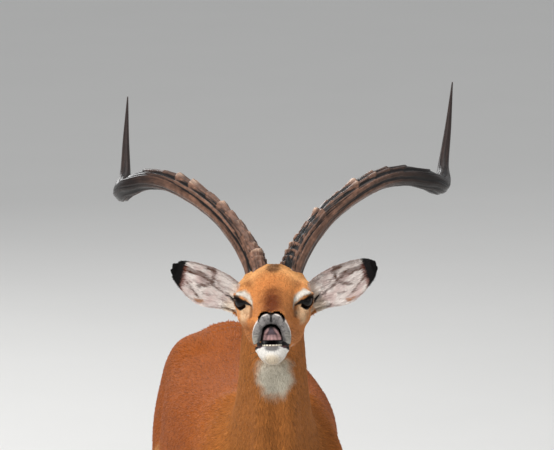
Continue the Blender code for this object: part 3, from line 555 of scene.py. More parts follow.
def addMouth(flesh):
    flesh.add(Sweep([
        (0, -12.1, -2.7, 1.1, 1.1, 1.1),
        (0, -12.4, -3.6, 1.6, 1.4, 1.4),
        (0, -12.7, -4.6, 1.9, 1.5, 1.5),
        (0, -12.3, -5.2, 1.9, 1.6, 1.6),
    ]), 0.8)  # dental pad
    flesh.add(Sweep([
        (2.1, -11.4, -6.9, 0.25, 0.25, 0.25),
        (2.38, -12.7, -6.65, 0.34, 0.34, 0.34),
        (2.32, -13.6, -5.7, 0.60, 0.70, 0.70),
        (2.18, -14.6, -4.45, 0.68, 0.85, 0.85),
        (1.84, -15.2, -3.3, 0.70, 0.85, 0.85),
        (1.12, -15.6, -2.35, 0.66, 0.80, 0.80),
        (0.0, -15.75, -1.98, 0.60, 0.75, 0.75),
    ], across=(0, -1, 0)), 0.6, twin=True)  # curled upper lip
    flesh.add(Egg((1.15, -14.5, -1.35), (1.15, 1.1, 0.75), (0, 18, 0)), 0.5,
              twin=True)  # nostril wings
    flesh.cut(Sweep([
        (0, -14.0, -5.98, 3.4, 0.38, 0.38),
        (1.2, -14.0, -6.02, 3.4, 0.38, 0.38),
        (1.95, -14.2, -6.18, 3.0, 0.34, 0.34),
        (2.45, -14.6, -6.52, 1.8, 0.24, 0.24),
        (2.60, -14.8, -6.95, 1.2, 0.12, 0.12),
    ], across=(0, 1, 0)), 0.25, twin=True)  # the open mouth
    flesh.add(Egg((0, -12.2, -7.6), (2.25, 2.3, 1.4)), 0.5)  # lower lip and chin
    flesh.add(Egg((0, -12.2, -8.3), (1.3, 1.9, 1.1)), 0.9)
    flesh.add(Sweep([
        (0, -14.15, -6.90, 0.45, 0.42, 0.42),
        (1.1, -13.9, -6.92, 0.45, 0.42, 0.42),
        (1.95, -13.0, -7.05, 0.45, 0.40, 0.40),
        (2.25, -11.6, -7.1, 0.4, 0.38, 0.38),
    ], across=(0, -1, 0)), 0.5, twin=True)  # rim of the lower lip
    flesh.add(Egg((0, -9.6, -5.9), (1.5, 3.0, 0.75)), 0.3)  # tongue
    flesh.cut(Sweep([
        (1.62, -14.9, -5.7, 1.1, 0.13, 0.13),
        (1.48, -15.1, -4.7, 1.1, 0.15, 0.15),
        (1.20, -15.3, -3.75, 1.1, 0.17, 0.17),
        (0.68, -15.5, -3.2, 1.1, 0.18, 0.18),
        (0.0, -15.5, -3.05, 1.1, 0.18, 0.18),
    ], across=(0, 1, 0)), 0.15, twin=True)  # between the lip and the pad
    flesh.cut(Sweep([
        (0.22, -15.4, -1.30, 1.2, 0.10, 0.10),
        (0.65, -15.5, -1.10, 1.2, 0.16, 0.16),
        (1.20, -15.3, -1.15, 1.2, 0.20, 0.20),
        (1.68, -15.0, -1.52, 1.1, 0.20, 0.20),
        (1.98, -14.6, -2.10, 0.9, 0.13, 0.13),
    ], across=(0, 1, 0)), 0.12, twin=True)  # nostrils
    flesh.cut(Sweep([
        (0, -16.5, -1.2, 0.07, 0.28, 0.28),
        (0, -16.5, -2.4, 0.07, 0.28, 0.28),
    ]), 0.1)  # groove of the lip


def addLids(flesh):
    radius = eyeShape["radius"] + eyeShape["lidThickness"]
    flesh.add(Egg(eyeCentre, (radius, radius, radius)), 0.5, twin=True)
    flesh.add(Sweep([
        (3.4, -2.0, -0.1, 0.20, 0.20, 0.20),
        (4.4, -1.75, 0.72, 0.30, 0.30, 0.30),
        (5.4, -1.1, 1.15, 0.32, 0.32, 0.32),
        (6.1, 0.1, 1.1, 0.20, 0.20, 0.20),
    ]), 0.5, twin=True)  # fold over the eye
    flesh.cut(LidCut(), 0.10, twin=True)


# The skin: a net of small faces laid over the forms, finest on the head and the feet

skinNet = dict(cell=0.15, low=(-24, -60, 3.0), high=(24, 76, 124.0), slack=1.35, rounds=1,
               headReach=19.5, footHeight=13.0)  # finer than the rest within these
headBox = dict(centre=(0, 0, 2), half=(22, 22, 18), blend=3.0)
skinEnd = 3.75  # the legs stop here, inside the tops of the hooves
body, head = bodyFlesh(), headFlesh()
neighbours = np.stack(np.meshgrid([-1, 0, 1], [-1, 0, 1], [-1, 0, 1], indexing="ij"), -1)
neighbours = neighbours.reshape(-1, 3)


def fleshDistance(points, chunk=300000):
    out = []
    for start in range(0, len(points), chunk):
        part = points[start:start + chunk].astype(np.float32)
        value = body.distance(part)
        local = toHead(part)
        near = np.abs(local - np.float32(headBox["centre"])) < np.float32(headBox["half"])
        near = near.all(1)
        value[near] = softMin(value[near], head.distance(local[near]), headBox["blend"])
        out.append(softMax(value, skinEnd - part[:, 2], 0.1))
    return np.concatenate(out) if out else np.zeros(0, np.float32)


def fineHere(points):
    nearHead = np.linalg.norm(points - headPlace - np.float32([0, -4, 0]), axis=1)
    return (nearHead < skinNet["headReach"]) | (points[:, 2] < skinNet["footHeight"])


def cellKey(cells):
    cells = cells.astype(np.int64) + 4096
    return (cells[:, 0] << 40) | (cells[:, 1] << 20) | cells[:, 2]


def blocksNearSurface(low, high, cell):
    # from large cubes to small ones, kept where the surface may pass
    size = 16
    count = np.ceil((high - low) / (cell * size)).astype(int)
    cubes = np.stack(np.meshgrid(*[np.arange(n) for n in count], indexing="ij"), -1).reshape(-1, 3)
    while True:
        centre = (low + (cubes + 0.5) * cell * size).astype(np.float32)
        reach = 0.87 * cell * size * skinNet["slack"] + 0.3 * cell
        cubes = cubes[np.abs(fleshDistance(centre)) < reach]
        if size == 2:
            return cubes
        cubes = (cubes[:, None] * 2 + (neighbours[(neighbours >= 0).all(1)])).reshape(-1, 3)
        size //= 2


def settle(points, steps, most, probe=0.02):
    # each point moves down the slope of the distance until it lies on the surface
    for _ in range(steps):
        value = fleshDistance(points)
        slope = np.empty_like(points)
        for axis in range(3):
            moved = points.copy()
            moved[:, axis] += probe
            slope[:, axis] = (fleshDistance(moved) - value) / probe
        square = np.maximum((slope ** 2).sum(1), 0.05)
        move = -(value / square)[:, None] * slope
        far = np.linalg.norm(move, axis=1)
        points = points + move * np.minimum(1, most / np.maximum(far, 1e-9))[:, None]
    return points


def netOverSurface(low, high, cell):
    # surface nets on cells of two sizes: a corner for each crossed cell, a face for each edge
    low, high = np.array(low, float), np.array(high, float)
    blocks = blocksNearSurface(low, high, cell)
    _, first = np.unique(cellKey((blocks[:, None] + neighbours).reshape(-1, 3)), return_index=True)
    blocks = (blocks[:, None] + neighbours).reshape(-1, 3)[first]
    fine = fineHere((low + (blocks + 0.5) * 2 * cell).astype(np.float32))
    fineKeys = np.sort(cellKey(blocks[fine]))

    def blockIsFine(cells):
        keys = cellKey(cells)
        place = np.minimum(np.searchsorted(fineKeys, keys), len(fineKeys) - 1)
        return fineKeys[place] == keys

    corners = neighbours + 1
    outer = corners[(corners != 1).all(1)]
    grid = np.vstack([
        (blocks[fine][:, None] * 2 + corners).reshape(-1, 3),
        (blocks[~fine][:, None] * 2 + outer).reshape(-1, 3),
    ])
    gridKeys, first = np.unique(cellKey(grid), return_index=True)
    grid = grid[first]
    value = fleshDistance((low + grid * cell).astype(np.float32))

    def valueAt(cells):
        keys = cellKey(cells)
        place = np.minimum(np.searchsorted(gridKeys, keys), len(gridKeys) - 1)
        return value[place], gridKeys[place] == keys

    faces = []
    for length in (1, 2):
        starts = grid if length == 1 else grid[(grid % 2 == 0).all(1)]
        for axis in range(3):
            second, third = (axis + 1) % 3, (axis + 2) % 3
            step = np.zeros(3, int)
            step[axis] = length
            valueA, knownA = valueAt(starts)
            valueB, knownB = valueAt(starts + step)
            crossed = knownA & knownB & ((valueA < 0) != (valueB < 0))
            edge, inward = starts[crossed], valueA[crossed] < 0
            names, small = [], []
            for a, b in ((-1, -1), (0, -1), (0, 0), (-1, 0)):
                cells = edge.copy() if length == 1 else edge // 2
                cells[:, second] += a
                cells[:, third] += b
                block = np.floor_divide(cells, 2) if length == 1 else cells
                isFine = blockIsFine(block)
                coarseName = cellKey(block) * 2
                fineName = cellKey(cells) * 2 + 1 if length == 1 else coarseName
                names.append(np.where(isFine, fineName, coarseName))
                small.append(isFine)
            names, small = np.stack(names, 1), np.stack(small, 1)
            use = small.any(1) if length == 1 else ~small.any(1)
            names, inward = names[use], inward[use]
            names[~inward] = names[~inward][:, ::-1]
            faces.append(names)
    names, faces = np.unique(np.vstack(faces), return_inverse=True)
    faces = faces.reshape(-1, 4)
    raw = names // 2
    cells = np.stack([(raw >> 40) & 0xFFFFF, (raw >> 20) & 0xFFFFF, raw & 0xFFFFF], 1) - 4096
    size = np.where(names % 2 == 1, 1, 2)[:, None] * cell
    return (low + (cells + 0.5) * size).astype(np.float32), faces


def eased(points, faces, rounds):
    # corners drawn towards the middle of their neighbours, then set on the surface again
    ends = np.concatenate([faces[:, [0, 1]], faces[:, [1, 2]], faces[:, [2, 3]], faces[:, [3, 0]]])
    ends = ends[ends[:, 0] != ends[:, 1]]
    count = np.bincount(ends[:, 0], minlength=len(points))
    count = count + np.bincount(ends[:, 1], minlength=len(points))
    for _ in range(rounds):
        total = np.zeros((len(points), 3))
        for axis in range(3):
            total[:, axis] = np.bincount(ends[:, 0], points[ends[:, 1], axis], len(points))
            total[:, axis] += np.bincount(ends[:, 1], points[ends[:, 0], axis], len(points))
        points = (0.5 * points + 0.5 * total / count[:, None]).astype(np.float32)
        points = settle(points, 1, 0.15)
    return points


def threeCornered(faces):
    # only the faces whose corners all differ
    a, b, c = faces.T
    return faces[(a != b) & (b != c) & (c != a)]


def splitFaces(points, faces):
    # each face in two over its shorter diagonal, or one where two cells are the same
    same = np.stack([faces[:, i] == faces[:, (i + 1) % 4] for i in range(4)], 1)
    whole = faces[same.sum(1) == 0]
    first = np.linalg.norm(points[whole[:, 0]] - points[whole[:, 2]], axis=1)
    second = np.linalg.norm(points[whole[:, 1]] - points[whole[:, 3]], axis=1)
    short = first <= second
    out = [whole[short][:, [0, 1, 2]], whole[short][:, [0, 2, 3]]]
    out += [whole[~short][:, [0, 1, 3]], whole[~short][:, [1, 2, 3]]]
    for i in range(4):
        once = (same.sum(1) == 1) & same[:, i]
        out.append(faces[once][:, [j for j in range(4) if j != i]])
    out = np.vstack(out)
    return threeCornered(out)


def cornerNormals(points, triangles):
    a, b, c = (points[triangles[:, i]] for i in range(3))
    flat = np.cross(b - a, c - a)
    out = np.zeros((len(points), 3))
    for corner in range(3):
        for axis in range(3):
            out[:, axis] += np.bincount(triangles[:, corner], flat[:, axis], len(points))
    return unitRows(out)


def makeSkinNet():
    points, faces = netOverSurface(skinNet["low"], skinNet["high"], skinNet["cell"])
    points = settle(points, 2, skinNet["cell"])
    points = eased(points, faces, skinNet["rounds"])
    return points, splitFaces(points, faces)


# Where each part of the body runs: guides for the lie of the coat, its colours and its maps

eyeCorners = [np.array(corner) for node in ("eye_left", "eye_right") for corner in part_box(node)]
fleshShift = sum(eyeCorners) / 4 - fromHead((0, eyeShape["y"], eyeShape["z"])) * 0.01
fleshShift[2] = 0


def toFrame(points):
    # from the drawing's centimetres to the frame's metres
    return np.asarray(points) * 0.01 + fleshShift


def legGuide(upper, lower):
    return Sweep(upper[:-1] + lower[1:], perSpan=4)


def makeGuides():
    guides = dict(trunk=Sweep(trunkLine), neck=Sweep(neckLine), tail=Sweep(tailLine))
    for side, sign in sides:
        guides["fore_" + side] = legGuide(*foreLine(sign, foreStep[side]))
        upper, _, lower = hindLine(sign, hindStep[side])
        guides["hind_" + side] = legGuide(upper, lower)
    return guides


guides = makeGuides()
skullGuide = Sweep([
    (0, 12.0, -1.0, 4.0, 4.0, 4.5),
    (0, 4.0, -0.5, 5.2, 5.0, 5.0),
    (0, -4.0, -3.0, 4.0, 4.2, 4.0),
    (0, -15.5, -4.0, 2.9, 3.0, 4.0),
], across=(-1, 0, 0))
earGuide = Shell(earLine, earShape["facing"], earShape["thickness"])
guideNames = list(guides) + ["head", "ear"]
hairLie = dict(trunk=(0, 1, -0.4), headFront=(0.3, -1, -0.15), headBack=(0.25, 1, -0.5))


def partsNear(points):
    # for each guide: how much a point belongs to it, and its place along and around it
    points = points.astype(np.float32)
    local = toHead(points)
    folded = local.copy()
    folded[:, 0] = np.abs(local[:, 0])
    gaps, places = [], {}
    for name, guide in guides.items():
        out, up, _, radii, place, along = guide.nearest(points)
        gaps.append(guide.distance(points))
        places[name] = (place, out, up, radii, along)
    out, up, _, radii, place, along = skullGuide.nearest(local)
    places["head"] = (place, out, up, radii, along @ headTurn.T)
    gaps.append(skullGuide.distance(local) - 0.6)
    side, depth, _, half, cup, place = earGuide.nearest(folded)
    inEar = np.hypot(np.maximum(np.abs(side) - half, 0),
                     np.maximum(np.abs(depth + cup / 2) - 1.5, 0))
    inEar = np.where((place > 0.13) & (folded[:, 0] > 5.3), inEar - 2.0, 9)
    floor = -cup * (1 - np.minimum((side / half) ** 2, 1.3))
    places["ear"] = (place, side, depth - floor, np.stack([half, half, half], 1), None)
    gaps.append(inEar)
    gaps = np.stack(gaps, 1)
    weights = np.exp(-(gaps - gaps.min(1)[:, None]) / 1.3)
    return weights / weights.sum(1)[:, None], places, local, folded


def placesOf(places, rows):
    # the places of some of the points only
    return {name: tuple(None if item is None else item[rows] for item in values)
            for name, values in places.items()}


def lieOfCoat(weights, places, local, normals):
    # the way that the hair points, laid on the surface
    flow = np.zeros((len(local), 3))
    sideOf = np.clip(local[:, 0] / 1.5, -1, 1)[:, None]
    for index, name in enumerate(guideNames):
        if name == "trunk":
            way = np.broadcast_to(np.array(hairLie["trunk"]), flow.shape)
        elif name == "head":
            back = ramp(local[:, 1] - 0.35 * np.minimum(local[:, 2], 0), -1.0, 3.0)[:, None]
            low = ramp(-local[:, 2], 1.5, 3.5)[:, None]
            front, behind = np.array(hairLie["headFront"]), np.array(hairLie["headBack"])
            mix = np.maximum(back, low)
            way = front * (1 - mix) + behind * mix
            way = np.concatenate([way[:, :1] * sideOf, way[:, 1:]], 1) @ headTurn.T
        elif name == "ear":
            ones = np.ones_like(sideOf)
            step = np.array([1.0, 0.05, 0.42]) * np.concatenate([sideOf, ones, ones], 1)
            way = step @ headTurn.T
        else:
            way = places[name][4]
        flow += weights[:, index:index + 1] * unitRows(way)
    flow -= (flow * normals).sum(1)[:, None] * normals
    return unitRows(flow)


# Markings, the same for skin and coat

# throat is a white greyed to stand in part for the shade under the head, and neck a brown a little
# darkened for the same shade; shade is a colour for painted shade
furColours = dict(
    saddle=(152, 78, 22), shoulder=(164, 89, 30), flank=(190, 130, 76), leg=(182, 118, 66),
    neck=(154, 95, 44), face=(200, 132, 74), forehead=(212, 160, 104), chestnut=(98, 37, 9),
    white=(220, 216, 210), cream=(220, 203, 174), beige=(206, 172, 136), cheek=(184, 120, 70),
    brown=(78, 46, 30), black=(14, 12, 12), lip=(132, 127, 124), lipDark=(66, 62, 62),
    gumPink=(194, 154, 152), gumGrey=(98, 84, 92), gumDark=(72, 52, 56), recessShadow=(9, 6, 6),
    throat=(182, 178, 163), shade=(140, 118, 90), earPink=(186, 160, 154),
    earHair=(134, 110, 104), earSpot=(146, 96, 54),
)


def linear(rgb):
    value = np.array(rgb, float) / 255
    return np.where(value <= 0.04045, value / 12.92, ((value + 0.055) / 1.055) ** 2.4)


def noiseOf(points, size, seed):
    # smooth noise from a lattice of fixed random values
    values = np.random.default_rng(seed).random((32, 32, 32)).astype(np.float32)
    place = np.asarray(points, np.float32) / size
    low = np.floor(place).astype(int)
    part = place - low
    part = part * part * (3 - 2 * part)
    total = np.zeros(len(place), np.float32)
    for a in (0, 1):
        for b in (0, 1):
            for c in (0, 1):
                share = np.abs(1 - a - part[:, 0]) * np.abs(1 - b - part[:, 1])
                share = share * np.abs(1 - c - part[:, 2])
                total += share * values[(low[:, 0] + a) % 32, (low[:, 1] + b) % 32,
                                        (low[:, 2] + c) % 32]
    return total


def besideSegment(x, z, start, end):
    # the share of the way along a segment, and how far each point lies from there
    dx, dz = end[0] - start[0], end[1] - start[1]
    length = max(dx * dx + dz * dz, 1e-9)
    share = np.clip(((x - start[0]) * dx + (z - start[1]) * dz) / length, 0, 1)
    return share, x - start[0] - share * dx, z - start[1] - share * dz


def oval(x, z, centre, radii):
    # one on the rim of an oval, less inside it
    return np.hypot((x - centre[0]) / radii[0], (z - centre[1]) / radii[1])


def strokeGap(x, z, rows):
    # rows: x, z, half width; below zero inside the stroke
    rows = np.array(rows, float)
    best = np.full(len(x), 99.0)
    for start, end in zip(rows[:-1], rows[1:]):
        share, gx, gz = besideSegment(x, z, start, end)
        best = np.minimum(best, np.hypot(gx, gz) - (start[2] + share * (end[2] - start[2])))
    return best


class Paint:
    def __init__(self, count, first):
        self.colour = np.tile(linear(furColours[first]), (count, 1))
        self.gloss = np.zeros(count)
        self.hair = np.ones(count)

    def lay(self, name, amount, gloss=None, hair=None):
        amount = np.clip(amount, 0, 1)
        self.colour += (linear(furColours[name]) - self.colour) * amount[:, None]
        if gloss is not None:
            self.gloss += (gloss - self.gloss) * amount
        if hair is not None:
            self.hair += (hair - self.hair) * amount


def markings(points, normals, weights, places, local, folded):
    paint = Paint(len(points), "shoulder")
    rough = (noiseOf(points, 1.1, 3) - 0.5) * 1.0 + (noiseOf(points, 0.4, 4) - 0.5) * 0.5
    weightOf = dict(zip(guideNames, weights.T))
    x, y, z = points.T
    paintBody(paint, x, y, z, normals, rough, weightOf, places)
    paintHead(paint, normals, rough, weightOf, local, folded)
    paintEars(paint, rough, weightOf, places, folded)
    shade = 1 + 0.10 * (noiseOf(points, 3.5, 5) - 0.5) + 0.12 * (noiseOf(points, 0.7, 6) - 0.5)
    paint.colour = np.clip(paint.colour * shade[:, None], 0, 1)
    return paint


def paintBody(paint, x, y, z, normals, rough, weightOf, places):
    trunk = weightOf["trunk"]
    hindLegs = weightOf["hind_left"] + weightOf["hind_right"]
    foreLegs = weightOf["fore_left"] + weightOf["fore_right"]
    barrel = trunk + hindLegs + foreLegs
    line = 69.5 + 2.5 * ramp(y, 5, 30) - 3.0 * ramp(y, 40, 55) - 9.0 * fall(y, -10, 4)
    paint.lay("saddle", ramp(z + rough * 1.5, line - 3.0, line + 1.5) * ramp(y, -2, 14))
    below = fall(z + rough, line - 2.2, line - 0.6)
    paint.lay("flank", barrel * below * ramp(y, 2, 10) * fall(y, 50, 58))
    paint.lay("leg", (hindLegs + foreLegs) * fall(z, 54, 60))
    paint.lay("neck", weightOf["neck"])
    belly = 58.2 + 1.6 * ramp(y, 25, 45)
    paint.lay("white", ramp(trunk, 0.45, 0.8) * fall(z + rough * 0.8, belly - 1.4, belly + 0.6)
              * ramp(y, -9, -3) * fall(y, 46, 52) * ramp(-normals[:, 2], -0.35, 0.2))
    inner = ramp(-normals[:, 0] * np.sign(x), 0.15, 0.6)
    paint.lay("cream", inner * (hindLegs * ramp(z, 34, 50) + foreLegs * ramp(z, 30, 44))
              * fall(z, 66, 72))
    paint.lay("cream", 0.5 * inner * (hindLegs + foreLegs))
    # dark lines down the buttocks and the tail, white beside it
    seat = ramp(y, 58.5, 61.0) * ramp(z, 57, 62) * fall(z, 83, 87)
    middle = 5.2 + 0.8 * rough
    paint.lay("cream", seat * fall(np.abs(x), 3.4, 4.6) * ramp(normals[:, 1], 0.1, 0.5))
    paint.lay("black", seat * fall(np.abs(np.abs(x) - middle), 0.35, 1.0)
              * ramp(normals[:, 1], 0.05, 0.4))
    tail = ramp(weightOf["tail"], 0.5, 0.85)
    place = places["tail"][0]
    paint.lay("white", tail * ramp(place, 0.12, 0.3))
    paint.lay("black", tail * ramp(normals[:, 1], 0.0, 0.4)
              * fall(np.abs(x + 0.3 * rough), 0.6, 1.1))
    paint.lay("black", tail * fall(place, 0.0, 0.2) * ramp(normals[:, 2], 0.0, 0.5)
              * fall(np.abs(x), 0.7, 1.3))
    for name in ("hind_left", "hind_right"):  # dark tuft over the gland behind the fetlock
        paint.lay("black", weightOf[name] * ramp(z, 8.5, 10) * fall(z, 15, 17.5)
                  * ramp(normals[:, 1], -0.1, 0.5))
    low = fall(z, 4.6, 7.0)
    paint.lay("brown", 0.55 * low)
    shin = (foreLegs + hindLegs) * fall(z, 26, 34) * ramp(-normals[:, 1], 0.2, 0.8)
    paint.lay("chestnut", 0.35 * shin)


def paintHead(paint, normals, rough, weightOf, local, folded):
    fx, y, z = folded.T
    face = ramp(weightOf["head"], 0.25, 0.75)
    facing = normals @ headTurn  # the surface's own direction in the head's frame
    front = ramp(-y, -3.2, -1.6)
    paint.lay("face", face)
    paint.lay("forehead", face * ramp(y, -3.0, 2.0) * ramp(z, 1.0, 3.5) * 0.8)
    paint.lay("cheek", face * fall(z, -3.6, -1.6) * ramp(fx, 2.2, 3.2) * 0.8)
    paint.lay("neck", 0.9 * face * ramp(y, 2.0, 8.0))
    patch = oval(fx, z, (0, 0.1), (2.15, 2.8)) + rough * 0.25
    paint.lay("chestnut", face * front * fall(patch, 0.2, 1.3) * ramp(facing[:, 2], 0.0, 0.4) * 0.9)
    smoky = oval(fx, z, (0.3, 1.7), (1.0, 0.8)) + rough * 0.3
    paint.lay("chestnut", face * front * fall(smoky, 0.2, 1.1) * 0.2)
    overBrow = oval(fx, z, (3.9, 2.9), (0.8, 1.0)) + rough * 0.3
    paint.lay("chestnut", face * front * fall(overBrow, 0.2, 1.2) * 0.45)
    tuft = oval(fx, z, (0, 5.3), (1.1, 0.7)) + rough * 0.3
    paint.lay("brown", face * fall(tuft, 0.5, 1.2) * 0.75)
    # white brow, pale patch below the eye, and the dark line between it and the nose
    brow = strokeGap(fx, z, [(5.7, 1.40, 0.34), (4.7, 1.40, 0.55), (3.95, 0.80, 0.48),
                             (3.42, 0.05, 0.32), (3.05, -0.9, 0.18)])
    near = front * fall(-y, 3.4, 4.8) * fall(y, -0.6, 1.0)
    paint.lay("throat", 0.9 * face * near * fall(brow + rough * 0.3, -0.30, 0.30))
    paint.lay("white", 0.65 * face * near * fall(brow + rough * 0.5, -0.45, 0.0))
    under = oval(fx, z, (4.5, -1.85), (1.05, 1.7)) - 1 + rough * 0.5
    paint.lay("beige", face * ramp(-y, -4.2, -3.0) * fall(-y, 3.6, 5.2) * fall(under, -0.5, 0.35))
    line = strokeGap(fx, z, [(3.45, -0.5, 0.05), (3.50, -1.7, 0.10), (3.35, -3.0, 0.05)])
    paint.lay("brown", 0.6 * face * ramp(-y, -1.0, 0.5) * fall(-y, 4.4, 5.4)
              * fall(line + rough * 0.1, 0.0, 0.30))
    root = np.sqrt(((fx - 6.2) / 1.5) ** 2 + ((z + 1.2) / 1.3) ** 2
                   + ((y - 2.2) / 2.0) ** 2) + 0.35 * rough
    paint.lay("throat", 0.8 * np.maximum(face, weightOf["ear"]) * fall(root, 0.35, 1.25))
    # throat and underside of the jaw; the throat's grey-white stands in part for the shade under
    # the head, its top darker still with painted shade under the jaw
    jaw = face * ramp(-facing[:, 2], 0.25, 0.7) * fall(z, -7.5, -6.2) * fall(fx, 2.0, 3.4)
    paint.lay("white", jaw)
    throat = oval(local[:, 0], z, (-0.2, -12.2), (3.25, 4.2)) - 1 + rough * 0.22
    under = np.clip(weightOf["neck"] + face, 0, 1) * ramp(-facing[:, 1], -0.2, 0.3)
    under = under * fall(throat, -0.4, 0.12) * (y > -6)
    paint.lay("throat", under * 0.92)
    paint.lay("shade", under * 0.6 * fall(-z, 9.6, 11.2))
    paintMuzzle(paint, face, rough, facing, local, folded)
    paintLids(paint, face, folded)


def paintMuzzle(paint, face, rough, facing, local, folded):
    fx, y, z = folded.T
    muzzle = face * ramp(-y, 11.2, 12.2)
    # grey face of the curled lip with its white rim
    off = outward(fx, z)
    onLip = muzzle * (off > -1.5) * (off < 0.95) * ramp(-y, 12.4, 13.0)
    paint.lay("lip", onLip * fall(off, 0.64, 0.74), gloss=0.25, hair=0.12)
    creases = noiseOf(np.stack([off * 0.4, y * 0.3, np.arctan2(fx, z + 4.5) * 4], 1), 0.16, 33)
    paint.lay("lipDark", onLip * 0.8 * ramp(creases, 0.55, 0.8) * fall(off, 0.5, 0.7))
    low = ramp(-z, 3.4, 6.0) * ramp(off, -0.45, 0.1)
    paint.lay("throat", onLip * low * (0.45 + 0.5 * rough) * fall(off, 0.64, 0.74))
    top = fall(-z, 1.8, 3.2) * fall(off, -0.1, 0.45)
    paint.lay("lipDark", onLip * np.maximum(top * 0.75, ramp(-off, 0.15, 0.55) * 0.6))
    mottle = noiseOf(local, 0.34, 35) + 0.5 * noiseOf(local, 0.15, 36)
    paint.lay("lipDark", onLip * 0.75 * ramp(mottle, 0.72, 1.05) * ramp(-off, -0.25, 0.45))
    rim = 0.85 * ramp(off + rough * 0.06, 0.60, 0.70) * fall(off + rough * 0.12, 0.76, 0.90)
    paint.lay("white", muzzle * rim * ramp(-y, 12.0, 13.2) * (z > -7.2), hair=0.3)
    # arch, gums and palate
    archHalf = np.interp(z, [-6.2, -5.7, -4.7, -3.75, -3.2, -3.05],
                         [1.62, 1.62, 1.48, 1.20, 0.68, 0.0])
    inward = fall(facing[:, 0] * np.sign(local[:, 0]), 0.35, 0.6)
    inside = face * ramp(-y, 7.5, 8.5) * (fx < archHalf) * (z > -6.2)
    inside = inside * np.where(y > -12.2, inward, 1)
    paint.lay("gumDark", inside, gloss=0.6, hair=0)
    valley = strokeGap(fx, z, [(0, -3.4, 0.10), (0, -4.6, 0.62)])
    paint.lay("gumGrey", inside * fall(valley, -0.08, 0.12), gloss=0.5)
    pad = strokeGap(fx, z, [(0, -5.10, 0.44), (1.2, -5.18, 0.36)])
    rays = np.cos(np.arctan2(fx, z + 2.6) * 30)
    paint.lay("gumPink", inside * fall(pad, -0.1, 0.16) * (0.76 + 0.24 * rays), gloss=0.6)
    ridge = strokeGap(fx, z, [(0.40, -3.5, 0.07), (1.30, -4.95, 0.16)])
    paint.lay("gumPink", 0.85 * inside * fall(ridge, 0.0, 0.14), gloss=0.6)
    bumps = noiseOf(local, 0.22, 31) * fall(-z, 3.3, 4.0)
    paint.lay("lip", inside * ramp(bumps, 0.5, 0.6) * 0.7)
    # the top of the palate darkened near black: painted shadow under the curled lip
    paint.lay("recessShadow", inside * fall(-z + 0.6 * rough, 3.2, 4.2) * 0.8)
    # the arch between the lip and the pad painted near black: painted shadow in the groove
    arch = strokeGap(fx, z, [(1.62, -5.7, 0.07), (1.48, -4.7, 0.08), (1.20, -3.75, 0.13),
                             (0.68, -3.2, 0.20), (0, -3.05, 0.22)])
    paint.lay("recessShadow", muzzle * fall(arch + rough * 0.22, 0.0, 0.14), gloss=0.5, hair=0)
    mouthGap = strokeGap(fx, z, [(0, -6.0, 0.42), (1.3, -6.04, 0.42), (2.0, -6.22, 0.38),
                                 (2.5, -6.60, 0.28), (2.65, -7.0, 0.14)])
    gap = fall(mouthGap, 0.0, 0.10)
    hollow = (z > -7.2) * (z < -5.6) * (y > -13.3) * (fx < 2.9) * np.where(fx < 1.9, 1, inward)
    deep = ramp(-y, 3.0, 4.0) * np.maximum(gap * inward, hollow)
    # dark edge of the lips, drooping to the mouth's corner
    corners = strokeGap(fx, z, [(1.6, -6.35, 0.22), (2.2, -6.42, 0.36), (2.65, -6.58, 0.38),
                                (2.95, -6.85, 0.20)])
    deep = np.maximum(deep, fall(corners, 0.0, 0.10) * ramp(-y, 6.2, 7.0) * fall(-y, 14.2, 14.5))
    cavity = np.maximum(gap * ramp(-y, 9.8, 10.4), deep)
    # the opening of the mouth, the lips' meeting edge and the hollow behind painted near black:
    # painted shadow
    paint.lay("recessShadow", face * cavity * ramp(2.9 - fx, -0.1, 0.1), gloss=0.4, hair=0)
    # the seam at the corner of the lips painted near black: painted shadow in the crease
    seam = strokeGap(y, z, [(-14.2, -6.95, 0.10), (-11.8, -6.75, 0.08), (-9.2, -6.35, 0.03)])
    paint.lay("recessShadow", face * fall(seam, 0.0, 0.14) * ramp(fx, 1.8, 2.0), gloss=0.3, hair=0.2)
    # nostrils and the groove between them, both painted near black as shadow
    nostril = strokeGap(fx, z, [(0.1, -1.40, 0.08), (0.6, -1.10, 0.13), (1.2, -1.15, 0.18),
                                (1.68, -1.52, 0.18), (1.98, -2.1, 0.13), (2.04, -2.45, 0.05)])
    paint.lay("recessShadow", muzzle * ramp(-y, 13.2, 13.6) * fall(nostril, -0.02, 0.12), gloss=0.5,
              hair=0)
    groove = strokeGap(fx, z, [(0, -1.1, 0.12), (0, -2.6, 0.08)])
    paint.lay("recessShadow", muzzle * ramp(-y, 14.6, 15.0) * fall(groove, 0.0, 0.07), gloss=0.4, hair=0)
    # lower lip and chin
    chin = face * ramp(-y, 9.0, 10.5) * fall(z, -6.42, -6.30) * (1 - cavity)
    paint.lay("white", chin * ramp(-y, 9.5, 11.0), hair=0.8)
    paint.lay("cream", chin * fall(oval(fx, z, (0, -8.6), (1.3, 1.0)), 0.4, 1.3) * 0.7)
    # painted shade on the underside of the chin
    paint.lay("shade", 0.35 * chin * fall(z, -8.9, -7.7))
    patch = oval(fx, z, (0, -6.72), (1.15, 0.48)) - 1 + rough * 0.25
    paint.lay("lipDark", 0.85 * chin * ramp(-y, 12.6, 13.2) * fall(patch, -0.3, 0.3), gloss=0.3,
              hair=0.2)
    innerRim = face * (z > -7.2) * (z < -6.2) * (fx < 2.3) * (y < -12.6)
    innerRim = innerRim * fall(-y, 13.7, 14.0) * ramp(facing[:, 2], 0.2, 0.5)
    paint.lay("gumDark", innerRim, gloss=0.5, hair=0)


